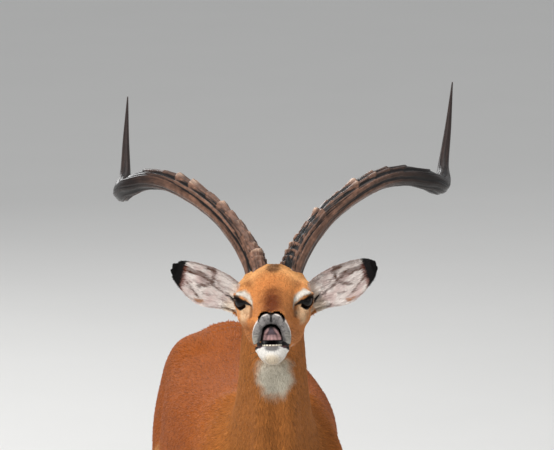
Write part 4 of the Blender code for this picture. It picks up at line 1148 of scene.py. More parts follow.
def outward(fx, z):
    # how far a point lies outside the middle of the curled lip, seen from the front
    ring = np.array([(0, -1.95), (1.15, -2.3), (1.90, -3.3), (2.28, -4.3), (2.42, -5.2),
                     (2.52, -6.2), (2.15, -6.9)])
    best = np.full(len(fx), 99.0)
    out = np.zeros(len(fx))
    for start, end in zip(ring[:-1], ring[1:]):
        _, gx, gz = besideSegment(fx, z, start, end)
        gap = np.hypot(gx, gz)
        sign = np.sign((end[0] - start[0]) * gz - (end[1] - start[1]) * gx)
        closer = gap < best
        best = np.where(closer, gap, best)
        out = np.where(closer, gap * sign, out)
    return out


def paintLids(paint, face, folded):
    fx, y, z = folded.T
    edge, depth, up = lidSlit(folded)
    onLid = face * (depth > 0.2) * (np.linalg.norm(folded - eyeCentre, axis=1) < 3.2)
    paint.lay("black", onLid * fall(edge, 0.06, 0.18), gloss=0.45, hair=0)
    upper = onLid * ramp(up, 0.1, 0.5)
    paint.lay("black", upper * fall(edge, 0.28, 0.55), hair=0.6)
    corner = strokeGap(fx, z, [(4.6, 0.0, 0.30), (4.1, -0.22, 0.17), (3.55, -0.52, 0.07)])
    paint.lay("black", face * ramp(-y, -1.5, 0.0) * fall(corner, 0.0, 0.12), gloss=0.35, hair=0.1)
    outerSmudge = oval(fx, z, (6.0, 0.7), (0.6, 0.4)) - 1
    paint.lay("black", 0.8 * face * fall(outerSmudge, -0.3, 0.4) * (y < 3.5))


earStreaks = [
    (1.0, [(13.6, 4.9, 0.36), (12.6, 4.6, 0.24), (11.6, 4.25, 0.42), (10.6, 3.75, 0.40),
           (9.9, 3.2, 0.18)]),
    (0.9, [(10.1, 5.1, 0.14), (9.3, 4.75, 0.34), (9.05, 4.2, 0.36), (9.1, 3.4, 0.14)]),
    (0.8, [(9.3, 3.4, 0.18), (9.5, 2.7, 0.26), (8.9, 1.9, 0.12), (7.75, 1.05, 0.06)]),
    (0.6, [(8.6, 3.0, 0.05), (8.2, 2.2, 0.10), (7.6, 1.8, 0.05)]),
    (0.8, [(11.7, 2.2, 0.12), (10.6, 2.3, 0.24), (9.5, 2.6, 0.16)]),
    (0.6, [(10.8, 0.95, 0.14), (9.7, 0.6, 0.12)]),
    (0.9, [(13.8, 3.2, 0.07), (13.1, 2.2, 0.10), (12.4, 1.3, 0.10), (11.7, 0.45, 0.06)]),
    (0.7, [(13.0, 6.0, 0.08), (11.4, 5.7, 0.12), (10.2, 5.2, 0.07)]),
]


def paintEars(paint, rough, weightOf, places, folded):
    ear = ramp(weightOf["ear"], 0.3, 0.7)
    fx, _, z = folded.T
    place, side, depth, half, _ = places["ear"]
    part = side / half[:, 0]
    inside = ear * ramp(depth, -0.02, 0.10)
    paint.lay("shoulder", ear * fall(depth, -0.02, 0.10))
    paint.lay("white", inside)
    paint.lay("earPink", inside * (0.25 + 0.5 * ramp(rough, -0.2, 0.4)))
    strands = noiseOf(np.stack([place * 5, part * 9 + place * 2, 0 * part], 1), 0.5, 37)
    paint.lay("earHair", inside * 0.5 * ramp(strands, 0.5, 0.85))
    for strength, rows in earStreaks:
        streak = strokeGap(fx, z, rows)
        broken = strength * (0.68 + 0.32 * ramp(strands, 0.3, 0.6))
        paint.lay("brown", inside * broken * fall(streak + rough * 0.34, -0.06, 0.20))
    spot = strokeGap(fx, z, [(12.3, 0.10, 0.10), (11.65, -0.25, 0.18), (10.9, -0.20, 0.08)])
    paint.lay("earSpot", 0.85 * inside * fall(spot + rough * 0.2, -0.05, 0.2))
    paint.lay("cream", inside * fall(place, 0.15, 0.3) * 0.5)
    paint.lay("brown", ear * 0.6 * ramp(np.abs(part), 0.93, 1.0) * (part > 0))
    # black tip, lower on the upper rim than on the lower one
    tipLine = (fx - 14.15) + (z - 3.6) * 0.32 + rough * 0.25
    paint.lay("chestnut", 0.8 * ear * ramp(tipLine, -0.7, -0.2) * (part < 0.6))
    paint.lay("black", ear * ramp(tipLine, -0.15, 0.15))
    # the slit of the ear painted near black: painted shadow in it
    slit = strokeGap(fx, z, [(5.75, -0.9, 0.05), (6.4, -0.1, 0.18), (7.1, 0.65, 0.06)])
    paint.lay("recessShadow", ear * fall(slit, 0.0, 0.15) * (depth > -0.9), hair=0)


# Meshes and materials

def meshPiece(name, points, triangles, material, colours=None, maps=None, smooth=True):
    # points in metres; colours are linear red, green, blue and gloss, one row for each point
    mesh = bpy.data.meshes.new(name)
    triangles = np.asarray(triangles, np.int32)
    mesh.vertices.add(len(points))
    mesh.vertices.foreach_set("co", np.asarray(points, np.float32).ravel())
    mesh.loops.add(triangles.size)
    mesh.loops.foreach_set("vertex_index", triangles.ravel())
    mesh.polygons.add(len(triangles))
    mesh.polygons.foreach_set("loop_start", np.arange(0, triangles.size, 3, dtype=np.int32))
    mesh.polygons.foreach_set("use_smooth", np.full(len(triangles), smooth))
    mesh.update(calc_edges=True)
    if colours is not None:
        layer = mesh.attributes.new("marks", "FLOAT_COLOR", "POINT")
        layer.data.foreach_set("color", np.asarray(colours, np.float32).ravel())
    for mapName, corners in (maps or {}).items():
        layer = mesh.uv_layers.new(name=mapName)
        layer.uv.foreach_set("vector", np.asarray(corners, np.float32).ravel())
    mesh.materials.append(material)
    piece = bpy.data.objects.new(name, mesh)
    bpy.context.scene.collection.objects.link(piece)
    return piece


def newMaterial(name, **sockets):
    material = bpy.data.materials.new(name)
    material.use_nodes = True
    shader = material.node_tree.nodes["Principled BSDF"]
    for socket, value in sockets.items():
        shader.inputs[socket.replace("_", " ")].default_value = value
    return material, material.node_tree, shader


def node(tree, kind, **settings):
    made = tree.nodes.new(kind)
    for name, value in settings.items():
        setattr(made, name, value)
    return made


def noiseNode(tree, scale, detail, roughness, vector):
    made = node(tree, "ShaderNodeTexNoise")
    made.inputs["Scale"].default_value = scale
    made.inputs["Detail"].default_value = detail
    made.inputs["Roughness"].default_value = roughness
    tree.links.new(vector, made.inputs["Vector"])
    return made


def mapRange(tree, source, low, high):
    made = node(tree, "ShaderNodeMapRange")
    made.inputs["To Min"].default_value = low
    made.inputs["To Max"].default_value = high
    tree.links.new(source, made.inputs["Value"])
    return made.outputs["Result"]


def tinted(tree, colour, factor, plain=(1, 1, 1)):
    # a colour, or a plain one where there is none, times a factor
    made = node(tree, "ShaderNodeMix", data_type="RGBA", blend_type="MULTIPLY")
    made.inputs[0].default_value = 1.0
    made.inputs[6].default_value = (*plain, 1)
    if colour is not None:
        tree.links.new(colour, made.inputs[6])
    tree.links.new(factor, made.inputs[7])
    return made.outputs[2]


def bumpFrom(tree, shader, height, strength, distance, before=None):
    made = node(tree, "ShaderNodeBump")
    made.inputs["Strength"].default_value = strength
    made.inputs["Distance"].default_value = distance
    tree.links.new(height, made.inputs["Height"])
    if before is not None:
        tree.links.new(before, made.inputs["Normal"])
    tree.links.new(made.outputs["Normal"], shader.inputs["Normal"])
    return made.outputs["Normal"]


skinLook = dict(roughness=0.74, wetRoughness=0.12, specular=0.14, strandAcross=620.0,
                strandAlong=70.0, bump=0.55)
coatLook = dict(roughness=0.60, specular=0.14)


def skinMaterial():
    material, tree, shader = newMaterial("fur_skin", Roughness=skinLook["roughness"])
    shader.inputs["Specular IOR Level"].default_value = skinLook["specular"]
    marks = node(tree, "ShaderNodeAttribute", attribute_name="marks")
    lie = node(tree, "ShaderNodeUVMap", uv_map="lie")
    stretch = node(tree, "ShaderNodeMapping")
    stretch.inputs["Scale"].default_value = (skinLook["strandAcross"], skinLook["strandAlong"], 1)
    tree.links.new(lie.outputs["UV"], stretch.inputs["Vector"])
    strands = noiseNode(tree, 1.0, 2.0, 0.5, stretch.outputs["Vector"])
    place = node(tree, "ShaderNodeTexCoord")
    pores = noiseNode(tree, 900.0, 2.0, 0.5, place.outputs["Object"])
    shade = mapRange(tree, strands.outputs["Fac"], 0.72, 1.22)
    tree.links.new(tinted(tree, marks.outputs["Color"], shade), shader.inputs["Base Color"])
    rough = mapRange(tree, marks.outputs["Alpha"], skinLook["roughness"], skinLook["wetRoughness"])
    tree.links.new(rough, shader.inputs["Roughness"])
    first = bumpFrom(tree, shader, strands.outputs["Fac"], skinLook["bump"], 0.0012)
    bumpFrom(tree, shader, pores.outputs["Fac"], 0.15, 0.0004, first)
    return material


def coatMaterial():
    material, tree, shader = newMaterial("fur_tufts", Roughness=coatLook["roughness"])
    shader.inputs["Specular IOR Level"].default_value = coatLook["specular"]
    marks = node(tree, "ShaderNodeAttribute", attribute_name="marks")
    tree.links.new(marks.outputs["Color"], shader.inputs["Base Color"])
    return material


# Maps: the skin laid flat, a part at a time

skinTiles = dict(
    head=(0.01, 0.51, 0.49, 0.99), trunk=(0.51, 0.51, 0.99, 0.99), neck=(0.01, 0.26, 0.35, 0.49),
    ear_left=(0.36, 0.26, 0.66, 0.49), ear_right=(0.68, 0.26, 0.99, 0.49),
    fore_left=(0.01, 0.01, 0.19, 0.24), fore_right=(0.21, 0.01, 0.39, 0.24),
    hind_left=(0.41, 0.01, 0.59, 0.24), hind_right=(0.61, 0.01, 0.79, 0.24),
    tail=(0.81, 0.01, 0.97, 0.24),
)
# how long and how wide each part is, in metres, for the strands of its hair
lieAlong = dict(trunk=0.9, neck=0.45, tail=0.12, head=0.32, ear=0.12, leg=0.9)
lieAround = dict(trunk=0.9, neck=0.5, tail=0.1, head=0.32, ear=0.1, leg=0.14)


def unwrapOf(points, partIndex, places, local, wrapTo=None):
    # around the part and along it, each from 0 to 1; wrapTo keeps a face's corners together
    around = np.zeros(len(points))
    along = np.zeros(len(points))
    for index, name in enumerate(guideNames):
        mine = partIndex == index
        if not mine.any():
            continue
        place, out, up, radii, _ = places[name]
        if name == "ear":
            around[mine] = 0.25 + 0.2 * np.clip(out[mine] / radii[mine, 0], -1.2, 1.2)
            around[mine] += np.where(up[mine] > 0.0, 0.5, 0.0)
            along[mine] = place[mine]
        elif name == "head":
            reach = np.hypot(out[mine], up[mine])
            around[mine] = np.arctan2(out[mine], -up[mine]) / (2 * math.pi) + 0.5
            along[mine] = (17.0 - local[mine, 1] - reach) / 34.0
        else:
            around[mine] = np.arctan2(out[mine], up[mine]) / (2 * math.pi) + 0.5
            along[mine] = place[mine]
    if wrapTo is not None:
        rings = partIndex != guideNames.index("ear")
        around = np.where(rings, around - np.round(around - wrapTo), around)
    return around, np.clip(along, 0, 1)


def tileCorners(around, along, partIndex, local, tiles):
    out = np.zeros((len(around), 2))
    for index, name in enumerate(guideNames):
        halves = ((name, None),)
        if name == "ear":
            halves = (("ear_left", 1), ("ear_right", -1))
        for tileName, sign in halves:
            mine = partIndex == index
            if sign is not None:
                mine = mine & (np.sign(local[:, 0]) == sign)
            if not mine.any():
                continue
            u0, v0, u1, v1 = tiles[tileName]
            out[mine, 0] = u0 + (u1 - u0) * np.clip(around[mine], -0.04, 1.04)
            out[mine, 1] = v0 + (v1 - v0) * along[mine]
    return out


def skinMaps(points, triangles):
    # every face lies whole in the tile of the part that its middle belongs to
    middles = points[triangles].mean(1)
    weights, places, local, _ = partsNear(middles)
    part = weights.argmax(1)
    centre, _ = unwrapOf(middles, part, places, local)
    corners = np.zeros((len(triangles), 3, 2))
    lie = np.zeros((len(triangles), 3, 2))
    _, pointPlaces, pointLocal, _ = partsNear(points)
    lengths = np.array([lieAlong.get(name, lieAlong["leg"]) for name in guideNames])
    girths = np.array([lieAround.get(name, lieAround["leg"]) for name in guideNames])
    for corner in range(3):
        who = triangles[:, corner]
        chosen = placesOf(pointPlaces, who)
        around, along = unwrapOf(points[who], part, chosen, pointLocal[who], centre)
        corners[:, corner] = tileCorners(around, along, part, local, skinTiles)
        lie[:, corner, 0] = around * girths[part]
        lie[:, corner, 1] = along * lengths[part]
    return dict(OFBake=corners.reshape(-1, 2), lie=lie.reshape(-1, 2))


# Rings of corners, as the eyes, horns and hooves have them

def ringCells(rows, columns):
    # every corner's number, and each cell's four corners in turn
    index = np.arange(rows * columns).reshape(rows, columns)
    first, second = index[:-1], index[1:]
    return index, (first, np.roll(first, -1, 1), np.roll(second, -1, 1), second)


def stacked(*triples):
    return np.concatenate([np.stack(triple, -1).reshape(-1, 3) for triple in triples])


# Eyes

eyeLook = dict(cornea=0.07, irisReach=0.86, pupilLong=0.62, pupilHigh=0.20, rows=72, columns=128,
               iris=(34, 21, 14), pupil=(6, 5, 5), rear=(48, 36, 32), roughness=0.05, specular=0.2)


def makeEye(side, sign, material):
    rows, columns = eyeLook["rows"], eyeLook["columns"]
    angle = np.linspace(0, math.pi, rows)
    turn = np.linspace(0, 2 * math.pi, columns, endpoint=False)
    a, t = np.meshgrid(angle, turn, indexing="ij")
    axis, slit, up = lidFrame.T
    forward = np.cos(a).ravel()
    along = (np.sin(a) * np.cos(t)).ravel()
    high = (np.sin(a) * np.sin(t)).ravel()
    bulge = 1 + eyeLook["cornea"] * np.clip((forward - 0.45) / 0.55, 0, 1) ** 2
    radius = eyeShape["radius"] * bulge
    shape = radius[:, None] * (forward[:, None] * axis + along[:, None] * slit + high[:, None] * up)
    place = (eyeCentre + shape) * np.array([sign, 1, 1])
    # colours: dark amber iris, level pupil, black rim
    reach = np.hypot(along, high)
    slant = math.radians(lidOpening["slant"])
    level = along * math.cos(slant) - high * math.sin(slant)
    rise = along * math.sin(slant) + high * math.cos(slant)
    pupil = (np.abs(level) / eyeLook["pupilLong"]) ** 2.6 + np.abs(rise / eyeLook["pupilHigh"]) ** 2
    fibres = 0.75 + 0.25 * np.cos(np.arctan2(high, along) * 46)
    iris = linear(eyeLook["iris"]) * fibres[:, None]
    dark, rearColour = linear(eyeLook["pupil"]), linear(eyeLook["rear"])
    colour = iris + (dark - iris) * fall(pupil, 0.85, 1.15)[:, None]
    edge = ramp(reach, eyeLook["irisReach"] - 0.12, eyeLook["irisReach"])
    colour = colour + (dark - colour) * edge[:, None]
    rear = ramp(-forward, -0.3, 0.0)
    colour = colour + (rearColour - colour) * rear[:, None]
    marks = np.concatenate([colour, np.ones((len(colour), 1))], 1)
    _, (here, beside, both, above) = ringCells(rows, columns)
    faces = stacked((here, above, both), (here, both, beside))
    if sign < 0:
        faces = faces[:, ::-1]
    piece = meshPiece("eyeball_" + side, toFrame(fromHead(place)), faces, material, marks)
    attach(piece, "root")
    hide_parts("eye_" + side)


def eyeMaterial():
    material, tree, shader = newMaterial("wet_eye", Roughness=eyeLook["roughness"])
    shader.inputs["Specular IOR Level"].default_value = eyeLook["specular"]
    marks = node(tree, "ShaderNodeAttribute", attribute_name="marks")
    place = node(tree, "ShaderNodeTexCoord")
    fleck = noiseNode(tree, 1400.0, 3.0, 0.6, place.outputs["Object"])
    shade = mapRange(tree, fleck.outputs["Fac"], 0.7, 1.3)
    tree.links.new(tinted(tree, marks.outputs["Color"], shade), shader.inputs["Base Color"])
    return material


# Horns: ringed on the front to the bend, grooved along, smooth and dark at the tips

hornPath = [
    (2.50, 3.6, 3.5, 1.92), (2.85, 4.6, 5.1, 1.92), (3.95, 7.0, 7.4, 1.84), (5.6, 9.6, 10.0, 1.76),
    (8.3, 13.0, 13.2, 1.70), (11.7, 16.5, 15.9, 1.68), (15.3, 20.0, 17.9, 1.66),
    (18.1, 22.5, 18.8, 1.64), (21.2, 25.3, 18.8, 1.64), (24.0, 28.0, 17.9, 1.66),
    (25.6, 31.2, 16.9, 1.62), (26.1, 34.6, 17.7, 1.30), (26.0, 37.6, 19.9, 0.88),
    (26.4, 41.4, 25.6, 0.52), (26.7, 45.4, 32.6, 0.10),
]
hornLean = {1: (1.9, 1.0), -1: (-2.0, -0.65)}  # each tip's shift outward and up, left and right
leanFrom = 0.5
hornForm = dict(perSpan=36, around=96, rings=15, firstRing=0.03, lastRing=0.72, ringHeight=0.43,
                ringBack=0.03, grooves=24, grooveDepth=0.13, ridgeHeight=0.14, nodules=0.12)
# crest is a painted highlight on the ring crests, groove a near black for painted shade in the
# grooves
hornColours = dict(base=(102, 73, 58), crest=(192, 160, 138), groove=(10, 7, 6), tip=(30, 24, 24))
hornLook = dict(roughness=0.4, baseRoughness=0.26, tipRoughness=0.38, specular=0.32)
crestWay = np.array([-0.62, -0.28, 0.72])  # the side on which the rings stand highest


def makeHorn(side, sign, material):
    table = curveThrough(hornPath, hornForm["perSpan"])
    centre, radius = table[:, :3], np.maximum(table[:, 3], 0.02)
    steps = np.linalg.norm(np.diff(centre, axis=0), axis=1)
    run = np.concatenate([[0], np.cumsum(steps)])
    share = run / run[-1]
    leanOut, leanUp = hornLean[sign]
    lean = np.clip((share - leanFrom) / (1 - leanFrom), 0, 1)
    centre = centre + lean[:, None] * np.array([leanOut, 0, leanUp])
    along = unitRows(np.gradient(centre, axis=0))
    crest = unitRows(crestWay - (along @ crestWay)[:, None] * along)
    other = np.cross(along, crest)
    turn = np.linspace(0, 2 * math.pi, hornForm["around"], endpoint=False)
    s, t = np.meshgrid(share, turn, indexing="ij")
    lift = hornHeight(s, t, sign)
    size = radius[:, None] + lift * np.minimum(1, radius[:, None] / 1.4)
    ringWay = np.cos(t)[..., None] * crest[:, None] + np.sin(t)[..., None] * other[:, None]
    place = (centre[:, None] + size[..., None] * ringWay).reshape(-1, 3)
    caps = np.stack([centre[0], centre[-1] + along[-1] * 0.05])
    place = np.vstack([place, caps]) * np.array([sign, 1, 1])
    index, (here, beside, both, above) = ringCells(*s.shape)
    bottom = (np.roll(index[0], -1), index[0], np.full(s.shape[1], s.size))
    top = (index[-1], np.roll(index[-1], -1), np.full(s.shape[1], s.size + 1))
    faces = stacked((here, beside, both), (here, both, above), bottom, top)
    if sign < 0:
        faces = faces[:, ::-1]
    height = np.concatenate([lift.ravel(), [0, 0]])
    at = np.concatenate([s.ravel(), [0, 1]])
    around = np.concatenate([t.ravel(), [0, 0]])
    streaks = noiseOf(np.stack([4 * np.cos(around), 4 * np.sin(around), at * run[-1] / 6], 1) + 40,
                      0.55, 23 + sign)
    fine = noiseOf(np.stack([9 * np.cos(around), 9 * np.sin(around), at * run[-1] / 4], 1) + 80,
                   0.55, 27 + sign)
    colour = hornColour(height, at, place) * (0.25 + 0.85 * streaks + 0.65 * fine)[:, None]
    colour = colour * (1 - 0.55 * ramp(at, 0.44, 0.56) * fall(at, 0.72, 0.80))[:, None]
    marks = np.concatenate([colour, (0.2 + 0.5 * ramp(at, 0.62, 0.8))[:, None]], 1)
    piece = meshPiece("ringed_horn_" + side, toFrame(fromHead(place)), faces, material, marks)
    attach(piece, "root")
    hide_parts("horn_" + side)


def hornHeight(s, t, sign):
    # rings, grooves and one long ridge, in centimetres above the plain horn
    seed = 11 if sign > 0 else 12
    wander = np.random.default_rng(seed)
    first, last = hornForm["firstRing"], hornForm["lastRing"]
    spot = np.clip((s - first) / (last - first), 0, 1)
    count = hornForm["rings"]
    # each ring rises slowly from the base side, drops sharply, and bends back over the front
    phase = count * spot ** 0.72 + 0.16 * np.sin(23 * spot + seed)
    tilt = 0.50 * (1 - np.cos(t)) + 0.05 * np.sin(2 * t + 7 * s) + 0.03 * np.sin(5 * t + 31 * s)
    cycle = np.mod(phase + tilt, 1)
    shape = np.clip(cycle / 0.84, 0, 1) ** 1.7 * fall(cycle, 0.85, 0.95)
    heights = 0.3 + 1.1 * wander.random(count + 3)
    which = np.clip(np.floor(phase + tilt).astype(int), 0, count + 2)
    front = 0.5 + 0.5 * np.cos(t - 0.12 + 0.25 * np.sin(9 * s))
    fade = ramp(s, first * 0.4, first) * (1 - 0.3 * ramp(s, 0.35, 0.55))
    fade = fade * fall(s, last - 0.06, last + 0.01)
    rings = hornForm["ringHeight"] * shape * heights[which] * fade
    rings = rings * (hornForm["ringBack"] + (1 - hornForm["ringBack"]) * front ** 6.0)
    nodules = np.sin(9 * t + 60 * s) * np.sin(150 * s + 3 * t)
    nodules = nodules + 0.6 * np.sin(17 * t - 90 * s) * np.sin(210 * s)
    rings = rings + hornForm["nodules"] * np.clip(nodules, 0, 1) * front ** 2 * fall(s, 0.12, 0.24)
    grooves = np.zeros_like(s)
    for _ in range(hornForm["grooves"]):
        where = wander.random() * 2 * math.pi
        drift = (wander.random() - 0.5) * 1.4
        sharp = 60 + 160 * wander.random()
        deep = 0.4 + 0.9 * wander.random()
        bend = 0.10 * np.sin(11 * s + 5 * wander.random())
        grooves -= deep * np.exp(-sharp * (1 - np.cos(t - where - drift * s - bend)))
    plain = fall(s, 0.60, 0.78)
    ridge = hornForm["ridgeHeight"] * np.exp(-26 * (1 - np.cos(t - 1.15 - 0.5 * s)))
    ridge = ridge + 0.6 * hornForm["ridgeHeight"] * np.exp(-34 * (1 - np.cos(t - 2.1 - 0.3 * s)))
    ripple = 0.022 * np.sin(31 * t + 9 * np.sin(14 * s) + 3 * s) + 0.014 * np.sin(43 * t - 11 * s)
    return rings + (hornForm["grooveDepth"] * grooves + ridge + ripple) * (0.12 + 0.88 * plain)


def hornColour(height, at, place):
    base, crest = linear(hornColours["base"]), linear(hornColours["crest"])
    groove, tip = linear(hornColours["groove"]), linear(hornColours["tip"])
    spread = noiseOf(place, 0.5, 21)[:, None] - 0.5
    colour = base * (1 + 0.8 * spread)
    # painted highlight on the ring crests, painted shade in the grooves
    colour = colour + (crest - colour) * ramp(height, 0.10, 0.42)[:, None] * 0.8
    colour = colour + (groove - colour) * ramp(-height, 0.0, 0.075)[:, None]
    dark = ramp(at, 0.32, 0.58)[:, None] * 0.9
    return np.clip(colour + (tip - colour) * dark, 0, 1)


def hornMaterial():
    material, tree, shader = newMaterial("ringed_horn", Roughness=hornLook["roughness"])
    shader.inputs["Specular IOR Level"].default_value = hornLook["specular"]
    marks = node(tree, "ShaderNodeAttribute", attribute_name="marks")
    place = node(tree, "ShaderNodeTexCoord")
    grain = noiseNode(tree, 420.0, 5.0, 0.65, place.outputs["Object"])
    blotch = noiseNode(tree, 60.0, 3.0, 0.55, place.outputs["Object"])
    shade = mapRange(tree, grain.outputs["Fac"], 0.62, 1.38)
    shade2 = mapRange(tree, blotch.outputs["Fac"], 0.8, 1.2)
    colour = tinted(tree, tinted(tree, marks.outputs["Color"], shade), shade2)
    tree.links.new(colour, shader.inputs["Base Color"])
    rough = mapRange(tree, marks.outputs["Alpha"], hornLook["baseRoughness"],
                     hornLook["tipRoughness"])
    tree.links.new(rough, shader.inputs["Roughness"])
    bumpFrom(tree, shader, grain.outputs["Fac"], 0.4, 0.0008)
    return material


# Hooves

hoofForm = dict(toe=3.25, heel=2.35, width=1.82, cleft=0.24, height=3.98, rings=22, around=64)
hoofLook = dict(horn=(34, 28, 25), worn=(74, 62, 52), roughness=0.42)


def makeHoof(name, centre, sign, nodes, material):
    # one claw: a wall that narrows to the coronet, a rounded edge below and a soft heel
    lifts = np.concatenate([[0.0, 0.0, 0.015, 0.05], np.linspace(0.1, 1.0, hoofForm["rings"]),
                            [1.04, 1.05]])
    widths = np.concatenate([[0.0, 0.93, 0.985, 1.0], np.ones(hoofForm["rings"]), [0.72, 0.0]])
    turn = np.linspace(0, 2 * math.pi, hoofForm["around"], endpoint=False)
    l, t = np.meshgrid(lifts, turn, indexing="ij")
    w = widths[:, None]
    lift = np.clip(l, 0, 1)
    half = hoofForm["width"] / 2
    toe = hoofForm["toe"] - 1.55 * lift + 0.25 * np.sin(math.pi * lift)
    heel = hoofForm["heel"] - 0.55 * lift + 0.12 * np.sin(math.pi * lift)
    c, s = np.cos(t), np.sin(t)
    reach = np.where(s > 0, heel, toe)
    innerSide = c * sign < 0
    across = np.sign(c) * np.abs(c) ** np.where(innerSide, 0.62, 0.9) * half
    taper = 1 - 0.46 * np.maximum(0, -s) ** 2 * (1 - 0.5 * lift)
    growth = 0.018 * np.sin(2 * math.pi * 9 * lift + 0.6 * s) * (lift > 0.06)
    x = across * taper * (1 - 0.05 * lift) * w + growth * c
    y = s * reach * w + growth * s
    z = l * hoofForm["height"] + 0.05 * np.maximum(0, s) * ramp(lift, 0.6, 1.0)
    offset = sign * (hoofForm["cleft"] / 2 + half)
    place = np.stack([centre[0] + offset + x, centre[1] + y, z], -1).reshape(-1, 3)
    _, (here, beside, both, above) = ringCells(*l.shape)
    faces = stacked((here, beside, both), (here, both, above))
    points, keep = np.unique(np.round(place, 5), axis=0, return_inverse=True)
    faces = threeCornered(keep.reshape(-1)[faces])
    colour = linear(hoofLook["horn"]) * (0.8 + 0.5 * noiseOf(points, 0.5, 31))[:, None]
    worn = fall(points[:, 2], 0.0, 0.5)[:, None]
    colour = colour + (linear(hoofLook["worn"]) - colour) * worn * 0.6
    marks = np.concatenate([colour, np.full((len(colour), 1), 0.3)], 1)
    piece = meshPiece(name, toFrame(points), faces, material, marks)
    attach(piece, "root")
    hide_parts(*nodes)


def hoofMaterial():
    material, tree, shader = newMaterial("worn_hoof", Roughness=hoofLook["roughness"])
    marks = node(tree, "ShaderNodeAttribute", attribute_name="marks")
    place = node(tree, "ShaderNodeTexCoord")
    stretch = node(tree, "ShaderNodeMapping")
    stretch.inputs["Scale"].default_value = (500, 500, 60)
    tree.links.new(place.outputs["Object"], stretch.inputs["Vector"])
    streak = noiseNode(tree, 1.0, 4.0, 0.6, stretch.outputs["Vector"])
    shade = mapRange(tree, streak.outputs["Fac"], 0.6, 1.4)
    tree.links.new(tinted(tree, marks.outputs["Color"], shade), shader.inputs["Base Color"])
    tree.links.new(mapRange(tree, streak.outputs["Fac"], 0.32, 0.6), shader.inputs["Roughness"])
    bumpFrom(tree, shader, streak.outputs["Fac"], 0.4, 0.0005)
    return material


def makeHooves(material):
    for side, sign in sides:
        feet = (("front_" + side, (legSpread["fore"] * sign, -2.9 + foreStep[side])),
                ("hind_" + side, (legSpread["hind"] * sign, 55.3 + hindStep[side])))
        for foot, centre in feet:
            for half, way in (("outer", sign), ("inner", -sign)):
                claw = foot + "_" + half
                makeHoof("claw_" + claw, centre, way, ["hoof_" + claw], material)


# Lower front teeth, lashes and whiskers

toothForm = dict(count=8, width=0.47, thick=0.20, top=-6.22, root=-7.0, rows=9, columns=14,
                 arcX=1.50, arcY=1.15, arcCentre=-12.75, arcHalf=66)
toothLook = dict(enamel=(232, 222, 200), stain=(150, 116, 78), roughness=0.25)


def makeTeeth(material):
    points, faces = [], []
    rows, columns = toothForm["rows"], toothForm["columns"]
    for number in range(toothForm["count"]):
        half = toothForm["arcHalf"]
        angle = math.radians(-half + 2 * half * number / (toothForm["count"] - 1))
        sine, cosine = math.sin(angle), math.cos(angle)
        arcX, arcY = toothForm["arcX"], toothForm["arcY"]
        base = np.array([sine * arcX, toothForm["arcCentre"] - cosine * arcY, 0])
        out = unitRows(np.array([sine / arcX, -cosine / arcY, 0]))
        side = np.array([-out[1], out[0], 0])
        for row in range(rows):
            share = row / (rows - 1)
            wide = toothForm["width"] / 2 * (0.62 + 0.38 * share) * (1 if row < rows - 1 else 0.86)
            thick = toothForm["thick"] / 2 * (1.25 - 0.75 * share)
            height = toothForm["root"] + (toothForm["top"] - toothForm["root"]) * share
            for column in range(columns):
                turn = 2 * math.pi * column / columns
                forward = thick * math.sin(turn) + 0.12 * share
                spot = base + side * wide * math.cos(turn) + out * forward
                spot[2] = height - (0.03 * math.cos(turn) ** 2 if row == rows - 1 else 0)
                points.append(spot)
        first = number * rows * columns
        for row in range(rows - 1):
            for column in range(columns):
                a = first + row * columns + column
                b = first + row * columns + (column + 1) % columns
                faces += [(a, b, b + columns), (a, b + columns, a + columns)]
        last = first + (rows - 1) * columns
        for column in range(1, columns - 1):
            faces.append((last, last + column, last + column + 1))
            faces.append((first, first + column + 1, first + column))
    points = np.array(points)
    colour = np.tile(linear(toothLook["enamel"]), (len(points), 1))
    stain = fall(points[:, 2], -6.7, -6.4)[:, None]
    colour = colour + (linear(toothLook["stain"]) - colour) * stain * 0.7
    marks = np.concatenate([colour, np.full((len(colour), 1), 0.7)], 1)
    piece = meshPiece("lower_incisors", toFrame(fromHead(points)), np.array(faces), material, marks)
    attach(piece, "root")
    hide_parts("lower_teeth")


def toothMaterial():
    material, tree, shader = newMaterial("tooth_enamel", Roughness=toothLook["roughness"])
    marks = node(tree, "ShaderNodeAttribute", attribute_name="marks")
    place = node(tree, "ShaderNodeTexCoord")
    streak = noiseNode(tree, 700.0, 3.0, 0.5, place.outputs["Object"])
    shade = mapRange(tree, streak.outputs["Fac"], 0.88, 1.08)
    tree.links.new(tinted(tree, marks.outputs["Color"], shade), shader.inputs["Base Color"])
    return material


def hairTubes(roots, ways, bends, lengths, thickness, segments=5):
    # thin tapering hairs with three sides, each bent along its length
    points, faces = [], []
    for root, way, bend, length in zip(roots, ways, bends, lengths):
        way = way / np.linalg.norm(way)
        side = unitRows(np.cross(way, [0.2, 0.3, 1.0]))
        other = np.cross(way, side)
        first = len(points)
        for step in range(segments + 1):
            share = step / segments
            centre = root + way * length * share + np.asarray(bend) * length * share ** 2
            size = thickness * (1 - 0.92 * share)
            for corner in range(3):
                turn = 2 * math.pi * corner / 3
                points.append(centre + size * (math.cos(turn) * side + math.sin(turn) * other))
        for step in range(segments):
            for corner in range(3):
                a = first + step * 3 + corner
                b = first + step * 3 + (corner + 1) % 3
                faces += [(a, b, b + 3), (a, b + 3, a + 3)]
        faces.append((first, first + 2, first + 1))
        last = first + segments * 3
        faces.append((last, last + 1, last + 2))
    return np.array(points), np.array(faces)


lashes = dict(count=34, length=1.05, thickness=0.028, colour=(22, 16, 14))
whiskers = dict(count=46, length=3.4, thickness=0.022, colour=(96, 70, 44))


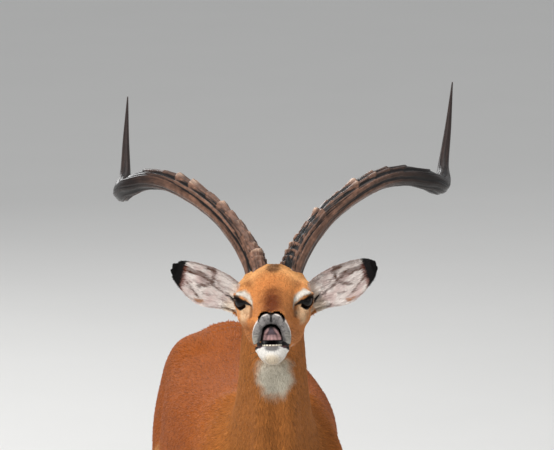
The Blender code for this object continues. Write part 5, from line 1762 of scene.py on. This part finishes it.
def makeLashes(material):
    chance = np.random.default_rng(41)
    axis, slit, up = lidFrame.T
    a, b = lidOpening["halfLength"], lidOpening["above"]
    bow = (a * a + b * b) / (2 * b)
    ball = eyeShape["radius"] + eyeShape["lidThickness"]
    for side, sign in sides:
        roots, ways, bends, lengths = [], [], [], []
        for number in range(lashes["count"]):
            share = -0.72 + 1.55 * (number + chance.random() * 0.6) / lashes["count"]
            along = share * a
            high = math.sqrt(bow * bow - along * along) - (bow - b) + 0.06
            depth = math.sqrt(max(ball * ball - along * along - high * high, 0.2))
            root = eyeCentre + axis * depth + slit * along + up * high
            way = axis + up * 0.10 + slit * (0.35 * share) + chance.normal(0, 0.08, 3)
            roots.append(root)
            ways.append(way)
            bends.append(-up * 0.35)
            lengths.append(lashes["length"] * (0.6 + 0.5 * chance.random()) * (0.75 + 0.35 * share))
        points, faces = hairTubes(roots, ways, bends, lengths, lashes["thickness"])
        points = points * np.array([sign, 1, 1])
        if sign < 0:
            faces = faces[:, ::-1]
        marks = np.tile(np.append(linear(lashes["colour"]), 0.2), (len(points), 1))
        piece = meshPiece("lashes_" + side, toFrame(fromHead(points)), faces, material, marks)
        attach(piece, "root")


def makeWhiskers(material):
    chance = np.random.default_rng(43)
    roots, ways, bends, lengths = [], [], [], []
    for number in range(whiskers["count"]):
        sign = 1 if number % 2 else -1
        low = number % 4 < 2
        if low:
            turn = math.radians(20 + 75 * chance.random())
            root = np.array([2.1 * math.sin(turn), -11.8 + 1.2 * chance.random(),
                             -7.4 - 1.3 * math.cos(turn)])
            way = np.array([1.1 * math.sin(turn) + 0.3, -0.35, -0.75 * math.cos(turn) - 0.1])
        else:
            root = np.array([2.5, -11.2 - 1.6 * chance.random(), -3.4 - 2.4 * chance.random()])
            way = np.array([1.0, -0.25, -0.25])
        way = way + chance.normal(0, 0.14, 3)
        roots.append(root * np.array([sign, 1, 1]))
        ways.append(way * np.array([sign, 1, 1]))
        bends.append(np.array([0, 0.12, -0.28]))
        lengths.append(whiskers["length"] * (0.45 + 0.6 * chance.random()) * (1 if low else 0.75))
    points, faces = hairTubes(roots, ways, bends, lengths, whiskers["thickness"], 7)
    marks = np.tile(np.append(linear(whiskers["colour"]), 0.2), (len(points), 1))
    piece = meshPiece("whiskers", toFrame(fromHead(points)), faces, material, marks)
    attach(piece, "root")


# The coat: flat pointed tufts that lie along the body

coatPieces = dict(
    coat_head=dict(parts=["head"], tufts=48000, seed=51),
    coat_ears=dict(parts=["ear"], tufts=40000, seed=52),
    coat_neck=dict(parts=["neck"], tufts=38000, seed=53),
    coat_trunk=dict(parts=["trunk"], tufts=49000, seed=54),
    coat_forelegs=dict(parts=["fore_left", "fore_right"], tufts=30000, seed=55),
    coat_hindlegs=dict(parts=["hind_left", "hind_right"], tufts=42000, seed=56),
    coat_tail=dict(parts=["tail"], tufts=9000, seed=57),
)
wholeTile = (0.02, 0.02, 0.98, 0.98)
leftTile, rightTile = (0.02, 0.02, 0.48, 0.98), (0.52, 0.02, 0.98, 0.98)
coatTiles = dict(
    head=wholeTile, neck=wholeTile, trunk=wholeTile, tail=wholeTile,
    fore_left=leftTile, fore_right=rightTile, hind_left=leftTile, hind_right=rightTile,
    ear_left=(0.02, 0.02, 0.98, 0.48), ear_right=(0.02, 0.52, 0.98, 0.98),
)
# shades: a tuft's two corners at the root, its back and its tip, in dark fur and in pale; the
# darker roots are painted shade among the hairs, the tips a little lighter
tuftForm = dict(shades=(0.62, 0.62, 0.95, 1.12), paleShades=(0.88, 0.88, 0.97, 1.04),
                jitter=0.16, swing=9, lift=11.0, sunk=0.035, patch=0.003)


def hairSize(points, weights, places, local, folded, paint):
    # length, width and lift in degrees of the tufts
    weightOf = dict(zip(guideNames, weights.T))
    y = folded[:, 1]
    onHead = ramp(weightOf["head"], 0.3, 0.8)
    length = np.full(len(points), 1.15)
    length += (0.55 - length) * onHead
    length += (0.38 - length) * (onHead * ramp(-y, -1.5, 3.0))
    muzzle = onHead * ramp(-y, 9.5, 12.5)
    length += (0.22 - length) * muzzle
    lids = np.linalg.norm(folded - eyeCentre, axis=1)
    length += (0.25 - length) * fall(lids, 2.3, 3.2) * onHead
    legs = sum(weightOf[name] for name in guideNames if name[:4] in ("fore", "hind"))
    height = points[:, 2]
    legLength = 0.34 + 0.30 * ramp(height, 10, 30) + 0.35 * ramp(height, 34, 56)
    length += (legLength - length) * ramp(legs, 0.3, 0.8)
    gland = weightOf["hind_left"] + weightOf["hind_right"]
    gland = gland * ramp(height, 8.5, 10) * fall(height, 15, 17.5) * (paint.colour.mean(1) < 0.05)
    length += (1.3 - length) * gland
    coronet = fall(height, 4.4, 5.2) * ramp(legs, 0.3, 0.8)
    length += (0.55 - length) * coronet
    tail = ramp(weightOf["tail"], 0.4, 0.8)
    length += (2.3 - length) * tail
    place, across, depth, half, _ = places["ear"]
    inEar = ramp(weightOf["ear"], 0.3, 0.7)
    length += (0.35 - length) * inEar
    rim = ramp(np.abs(across) / half[:, 0], 0.75, 0.95)
    cupSide, toTip = ramp(depth, -0.02, 0.1), 1 - 0.7 * ramp(place, 0.72, 0.9)
    length += (0.85 - length) * inEar * cupSide * toTip * (1 - 0.6 * rim)
    length *= 1 - 0.65 * inEar * ramp(place, 0.78, 0.92)
    throat = oval(local[:, 0], local[:, 2], (-0.2, -12.0), (3.6, 4.6))
    nearThroat = ramp(weightOf["head"] + weightOf["neck"], 0.5, 0.8)
    length += (0.55 - length) * fall(throat, 0.8, 1.2) * nearThroat
    lift = np.full(len(points), tuftForm["lift"])
    lift += 2 * inEar * cupSide + 10 * gland + 4 * tail - 3 * muzzle
    width = 0.055 + 0.075 * ramp(length, 0.25, 1.1)
    return length, width, lift


def growTufts(name, settings, points, triangles, normals, partOfFace, material):
    chance = np.random.default_rng(settings["seed"])
    wanted = [guideNames.index(part) for part in settings["parts"]]
    faces = triangles[np.isin(partOfFace, wanted)]
    a, b, c = (points[faces[:, i]] for i in range(3))
    area = np.linalg.norm(np.cross(b - a, c - a), axis=1)
    picks = chance.choice(len(faces), size=int(settings["tufts"] * 1.12), p=area / area.sum())
    u, v = chance.random((2, len(picks)))
    fold = u + v > 1
    u[fold], v[fold] = 1 - u[fold], 1 - v[fold]
    shares = [share[:, None] for share in (1 - u - v, u, v)]
    face = faces[picks]

    def within(values):
        return sum(values[face[:, corner]] * share for corner, share in enumerate(shares))

    root, normal = within(points), unitRows(within(normals))
    weights, places, local, folded = partsNear(root)
    paint = markings(root, normal, weights, places, local, folded)
    keep = (chance.random(len(root)) < paint.hair) & (root[:, 2] > 4.0)
    keep = np.flatnonzero(keep)[:settings["tufts"]]
    root, normal, weights = root[keep], normal[keep], weights[keep]
    local, folded = local[keep], folded[keep]
    places = placesOf(places, keep)
    paint.colour, paint.gloss = paint.colour[keep], paint.gloss[keep]
    flow = lieOfCoat(weights, places, local, normal)
    length, width, lift = hairSize(root, weights, places, local, folded, paint)
    length = length * (0.7 + 0.6 * chance.random(len(root)))
    swing = np.radians(chance.normal(0, tuftForm["swing"], len(root)))[:, None]
    side = np.cross(normal, flow)
    sine, cosine = np.sin(swing), np.cos(swing)
    flow, side = flow * cosine + side * sine, side * cosine - flow * sine
    rise = np.radians(lift * (0.6 + 0.8 * chance.random(len(root))))[:, None]
    length = length[:, None]
    width = width[:, None] * (0.8 + 0.4 * chance.random(len(root)))[:, None]
    sunk = root - normal * tuftForm["sunk"]
    tip = root + length * (flow * np.cos(rise) + normal * np.sin(rise)) - normal * 0.10 * length
    corners = np.stack([
        sunk - side * width - flow * width * 0.3,
        sunk + side * width - flow * width * 0.3,
        root + normal * (tuftForm["sunk"] + 0.25 * width) + flow * length * 0.22,
        tip,
    ], 1)
    index = np.arange(len(root))[:, None, None] * 4
    pattern = np.array([[0, 2, 1], [0, 3, 2], [1, 2, 3], [0, 1, 3]])
    tuftFaces = (index + pattern[None]).reshape(-1, 3)
    pale = ramp(paint.colour.mean(1), 0.2, 0.6)[:, None]
    tone = 1 + tuftForm["jitter"] * chance.normal(0, 1, len(root))[:, None] * (1 - 0.5 * pale)
    colour = np.clip(paint.colour * np.clip(tone, 0.6, 1.5), 0, 1)
    # darker roots: painted shade among the hairs
    shades = np.array(tuftForm["shades"])
    shades = shades + (np.array(tuftForm["paleShades"]) - shades) * pale
    marks = np.clip(colour[:, None, :] * shades[:, :, None], 0, 1)
    gloss = np.broadcast_to(paint.gloss[:, None, None], marks.shape[:2] + (1,))
    marks = np.concatenate([marks, gloss], 2)
    part = weights.argmax(1)
    part = np.where(np.isin(part, wanted), part, wanted[0])
    around, along = unwrapOf(root, part, places, local)
    centre = tileCorners(around, along, part, local, coatTiles)
    half = tuftForm["patch"] / 2
    patch = np.array([(-half, -half), (half, -half), (0.0, 0.0), (0.0, half)])
    spots = centre[:, None] + patch[None]
    cornerMap = spots[:, pattern.ravel()].reshape(-1, 2)
    piece = meshPiece(name, toFrame(corners.reshape(-1, 3)), tuftFaces, material,
                      marks.reshape(-1, 4), dict(OFBake=cornerMap), smooth=False)
    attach(piece, "root")
    return len(tuftFaces)


# Floor, lights and camera

view = dict(azimuth=-7.0, elevation=9.0, distance=14.0, lens=573.1, sensor=36.0,
            target=(-3.42, -39.0, 120.35))
lamps = dict(
    key=dict(place=(-3.4, -4.2, 5.0), size=1.6, power=430.0),
    side=dict(place=(4.5, -3.0, 2.6), size=3.0, power=20.0),
    top=dict(place=(0.5, 0.5, 5.5), size=4.0, power=60.0),
    rear=dict(place=(-1.5, 5.5, 3.4), size=3.0, power=90.0),
)
studio = dict(floor=(0.80, 0.79, 0.77), air=(0.96, 0.98, 1.0), airStrength=0.45)


def makeFloor():
    bm = bmesh.new()
    bmesh.ops.create_grid(bm, x_segments=1, y_segments=1, size=160.0)
    mesh = bpy.data.meshes.new("studio_floor")
    bm.to_mesh(mesh)
    bm.free()
    material, tree, shader = newMaterial("pale_floor", Roughness=0.9)
    place = node(tree, "ShaderNodeTexCoord")
    fleck = noiseNode(tree, 3.0, 2.0, 0.5, place.outputs["Object"])
    shade = mapRange(tree, fleck.outputs["Fac"], 0.985, 1.015)
    colour = tinted(tree, None, shade, studio["floor"])
    tree.links.new(colour, shader.inputs["Base Color"])
    mesh.materials.append(material)
    floor = bpy.data.objects.new("studio_floor", mesh)
    bpy.context.scene.collection.objects.link(floor)


def makeLights():
    world = bpy.data.worlds.new("studio_air")
    bpy.context.scene.world = world
    world.use_nodes = True
    sky = world.node_tree.nodes["Background"]
    sky.inputs["Color"].default_value = (*studio["air"], 1)
    sky.inputs["Strength"].default_value = studio["airStrength"]
    for name, lamp in lamps.items():
        light = bpy.data.lights.new(name, "AREA")
        light.shape = "DISK"
        light.size = lamp["size"]
        light.energy = lamp["power"]
        holder = bpy.data.objects.new(name, light)
        holder.location = lamp["place"]
        aim = Vector((0.0, 0.0, 0.9)) - holder.location
        holder.rotation_euler = aim.to_track_quat("-Z", "Y").to_euler()
        bpy.context.scene.collection.objects.link(holder)


def makeCamera():
    azimuth, elevation = math.radians(view["azimuth"]), math.radians(view["elevation"])
    back = Vector((
        math.sin(azimuth) * math.cos(elevation),
        -math.cos(azimuth) * math.cos(elevation),
        math.sin(elevation),
    ))
    lens = bpy.data.cameras.new("camera")
    lens.lens, lens.sensor_width = view["lens"], view["sensor"]
    lens.clip_start, lens.clip_end = 0.1, 400
    camera = bpy.data.objects.new("camera", lens)
    camera.location = Vector(toFrame(view["target"])) + back * view["distance"]
    camera.rotation_euler = (-back).to_track_quat("-Z", "Y").to_euler()
    bpy.context.scene.collection.objects.link(camera)
    bpy.context.scene.camera = camera
    bpy.context.scene.view_settings.view_transform = "Standard"


# Making it all

def main():
    points, triangles = makeSkinNet()
    say(f"skin net, {len(triangles)} faces")
    normals = cornerNormals(points, triangles)
    weights, places, local, folded = partsNear(points)
    paint = markings(points, normals, weights, places, local, folded)
    maps = skinMaps(points, triangles)
    marks = np.concatenate([paint.colour, paint.gloss[:, None]], 1)
    skin = meshPiece("skin", toFrame(points), triangles, skinMaterial(), marks, maps)
    fleshNodes = ["head", "lower_jaw", "neck", "trunk", "tail", "ear_left", "ear_right"]
    for leg in ("foreleg", "hindleg"):
        for side in ("left", "right"):
            fleshNodes += [f"{leg}_{side}_upper", f"{leg}_{side}_lower"]
    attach(skin, "root")
    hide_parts(*fleshNodes)
    say("skin and its markings")

    eye, horn = eyeMaterial(), hornMaterial()
    for side, sign in sides:
        makeEye(side, sign, eye)
        makeHorn(side, sign, horn)
    makeHooves(hoofMaterial())
    makeTeeth(toothMaterial())
    coat = coatMaterial()
    makeLashes(coat)
    makeWhiskers(coat)
    say("eyes, horns, hooves, teeth and lashes")

    middles = points[triangles].mean(1)
    partOfFace = partsNear(middles)[0].argmax(1)
    for name, settings in coatPieces.items():
        count = growTufts(name, settings, points, triangles, normals, partOfFace, coat)
        say(f"{name}, {count} faces")

    makeFloor()
    makeLights()
    makeCamera()
    say("floor, lights and camera")


main()
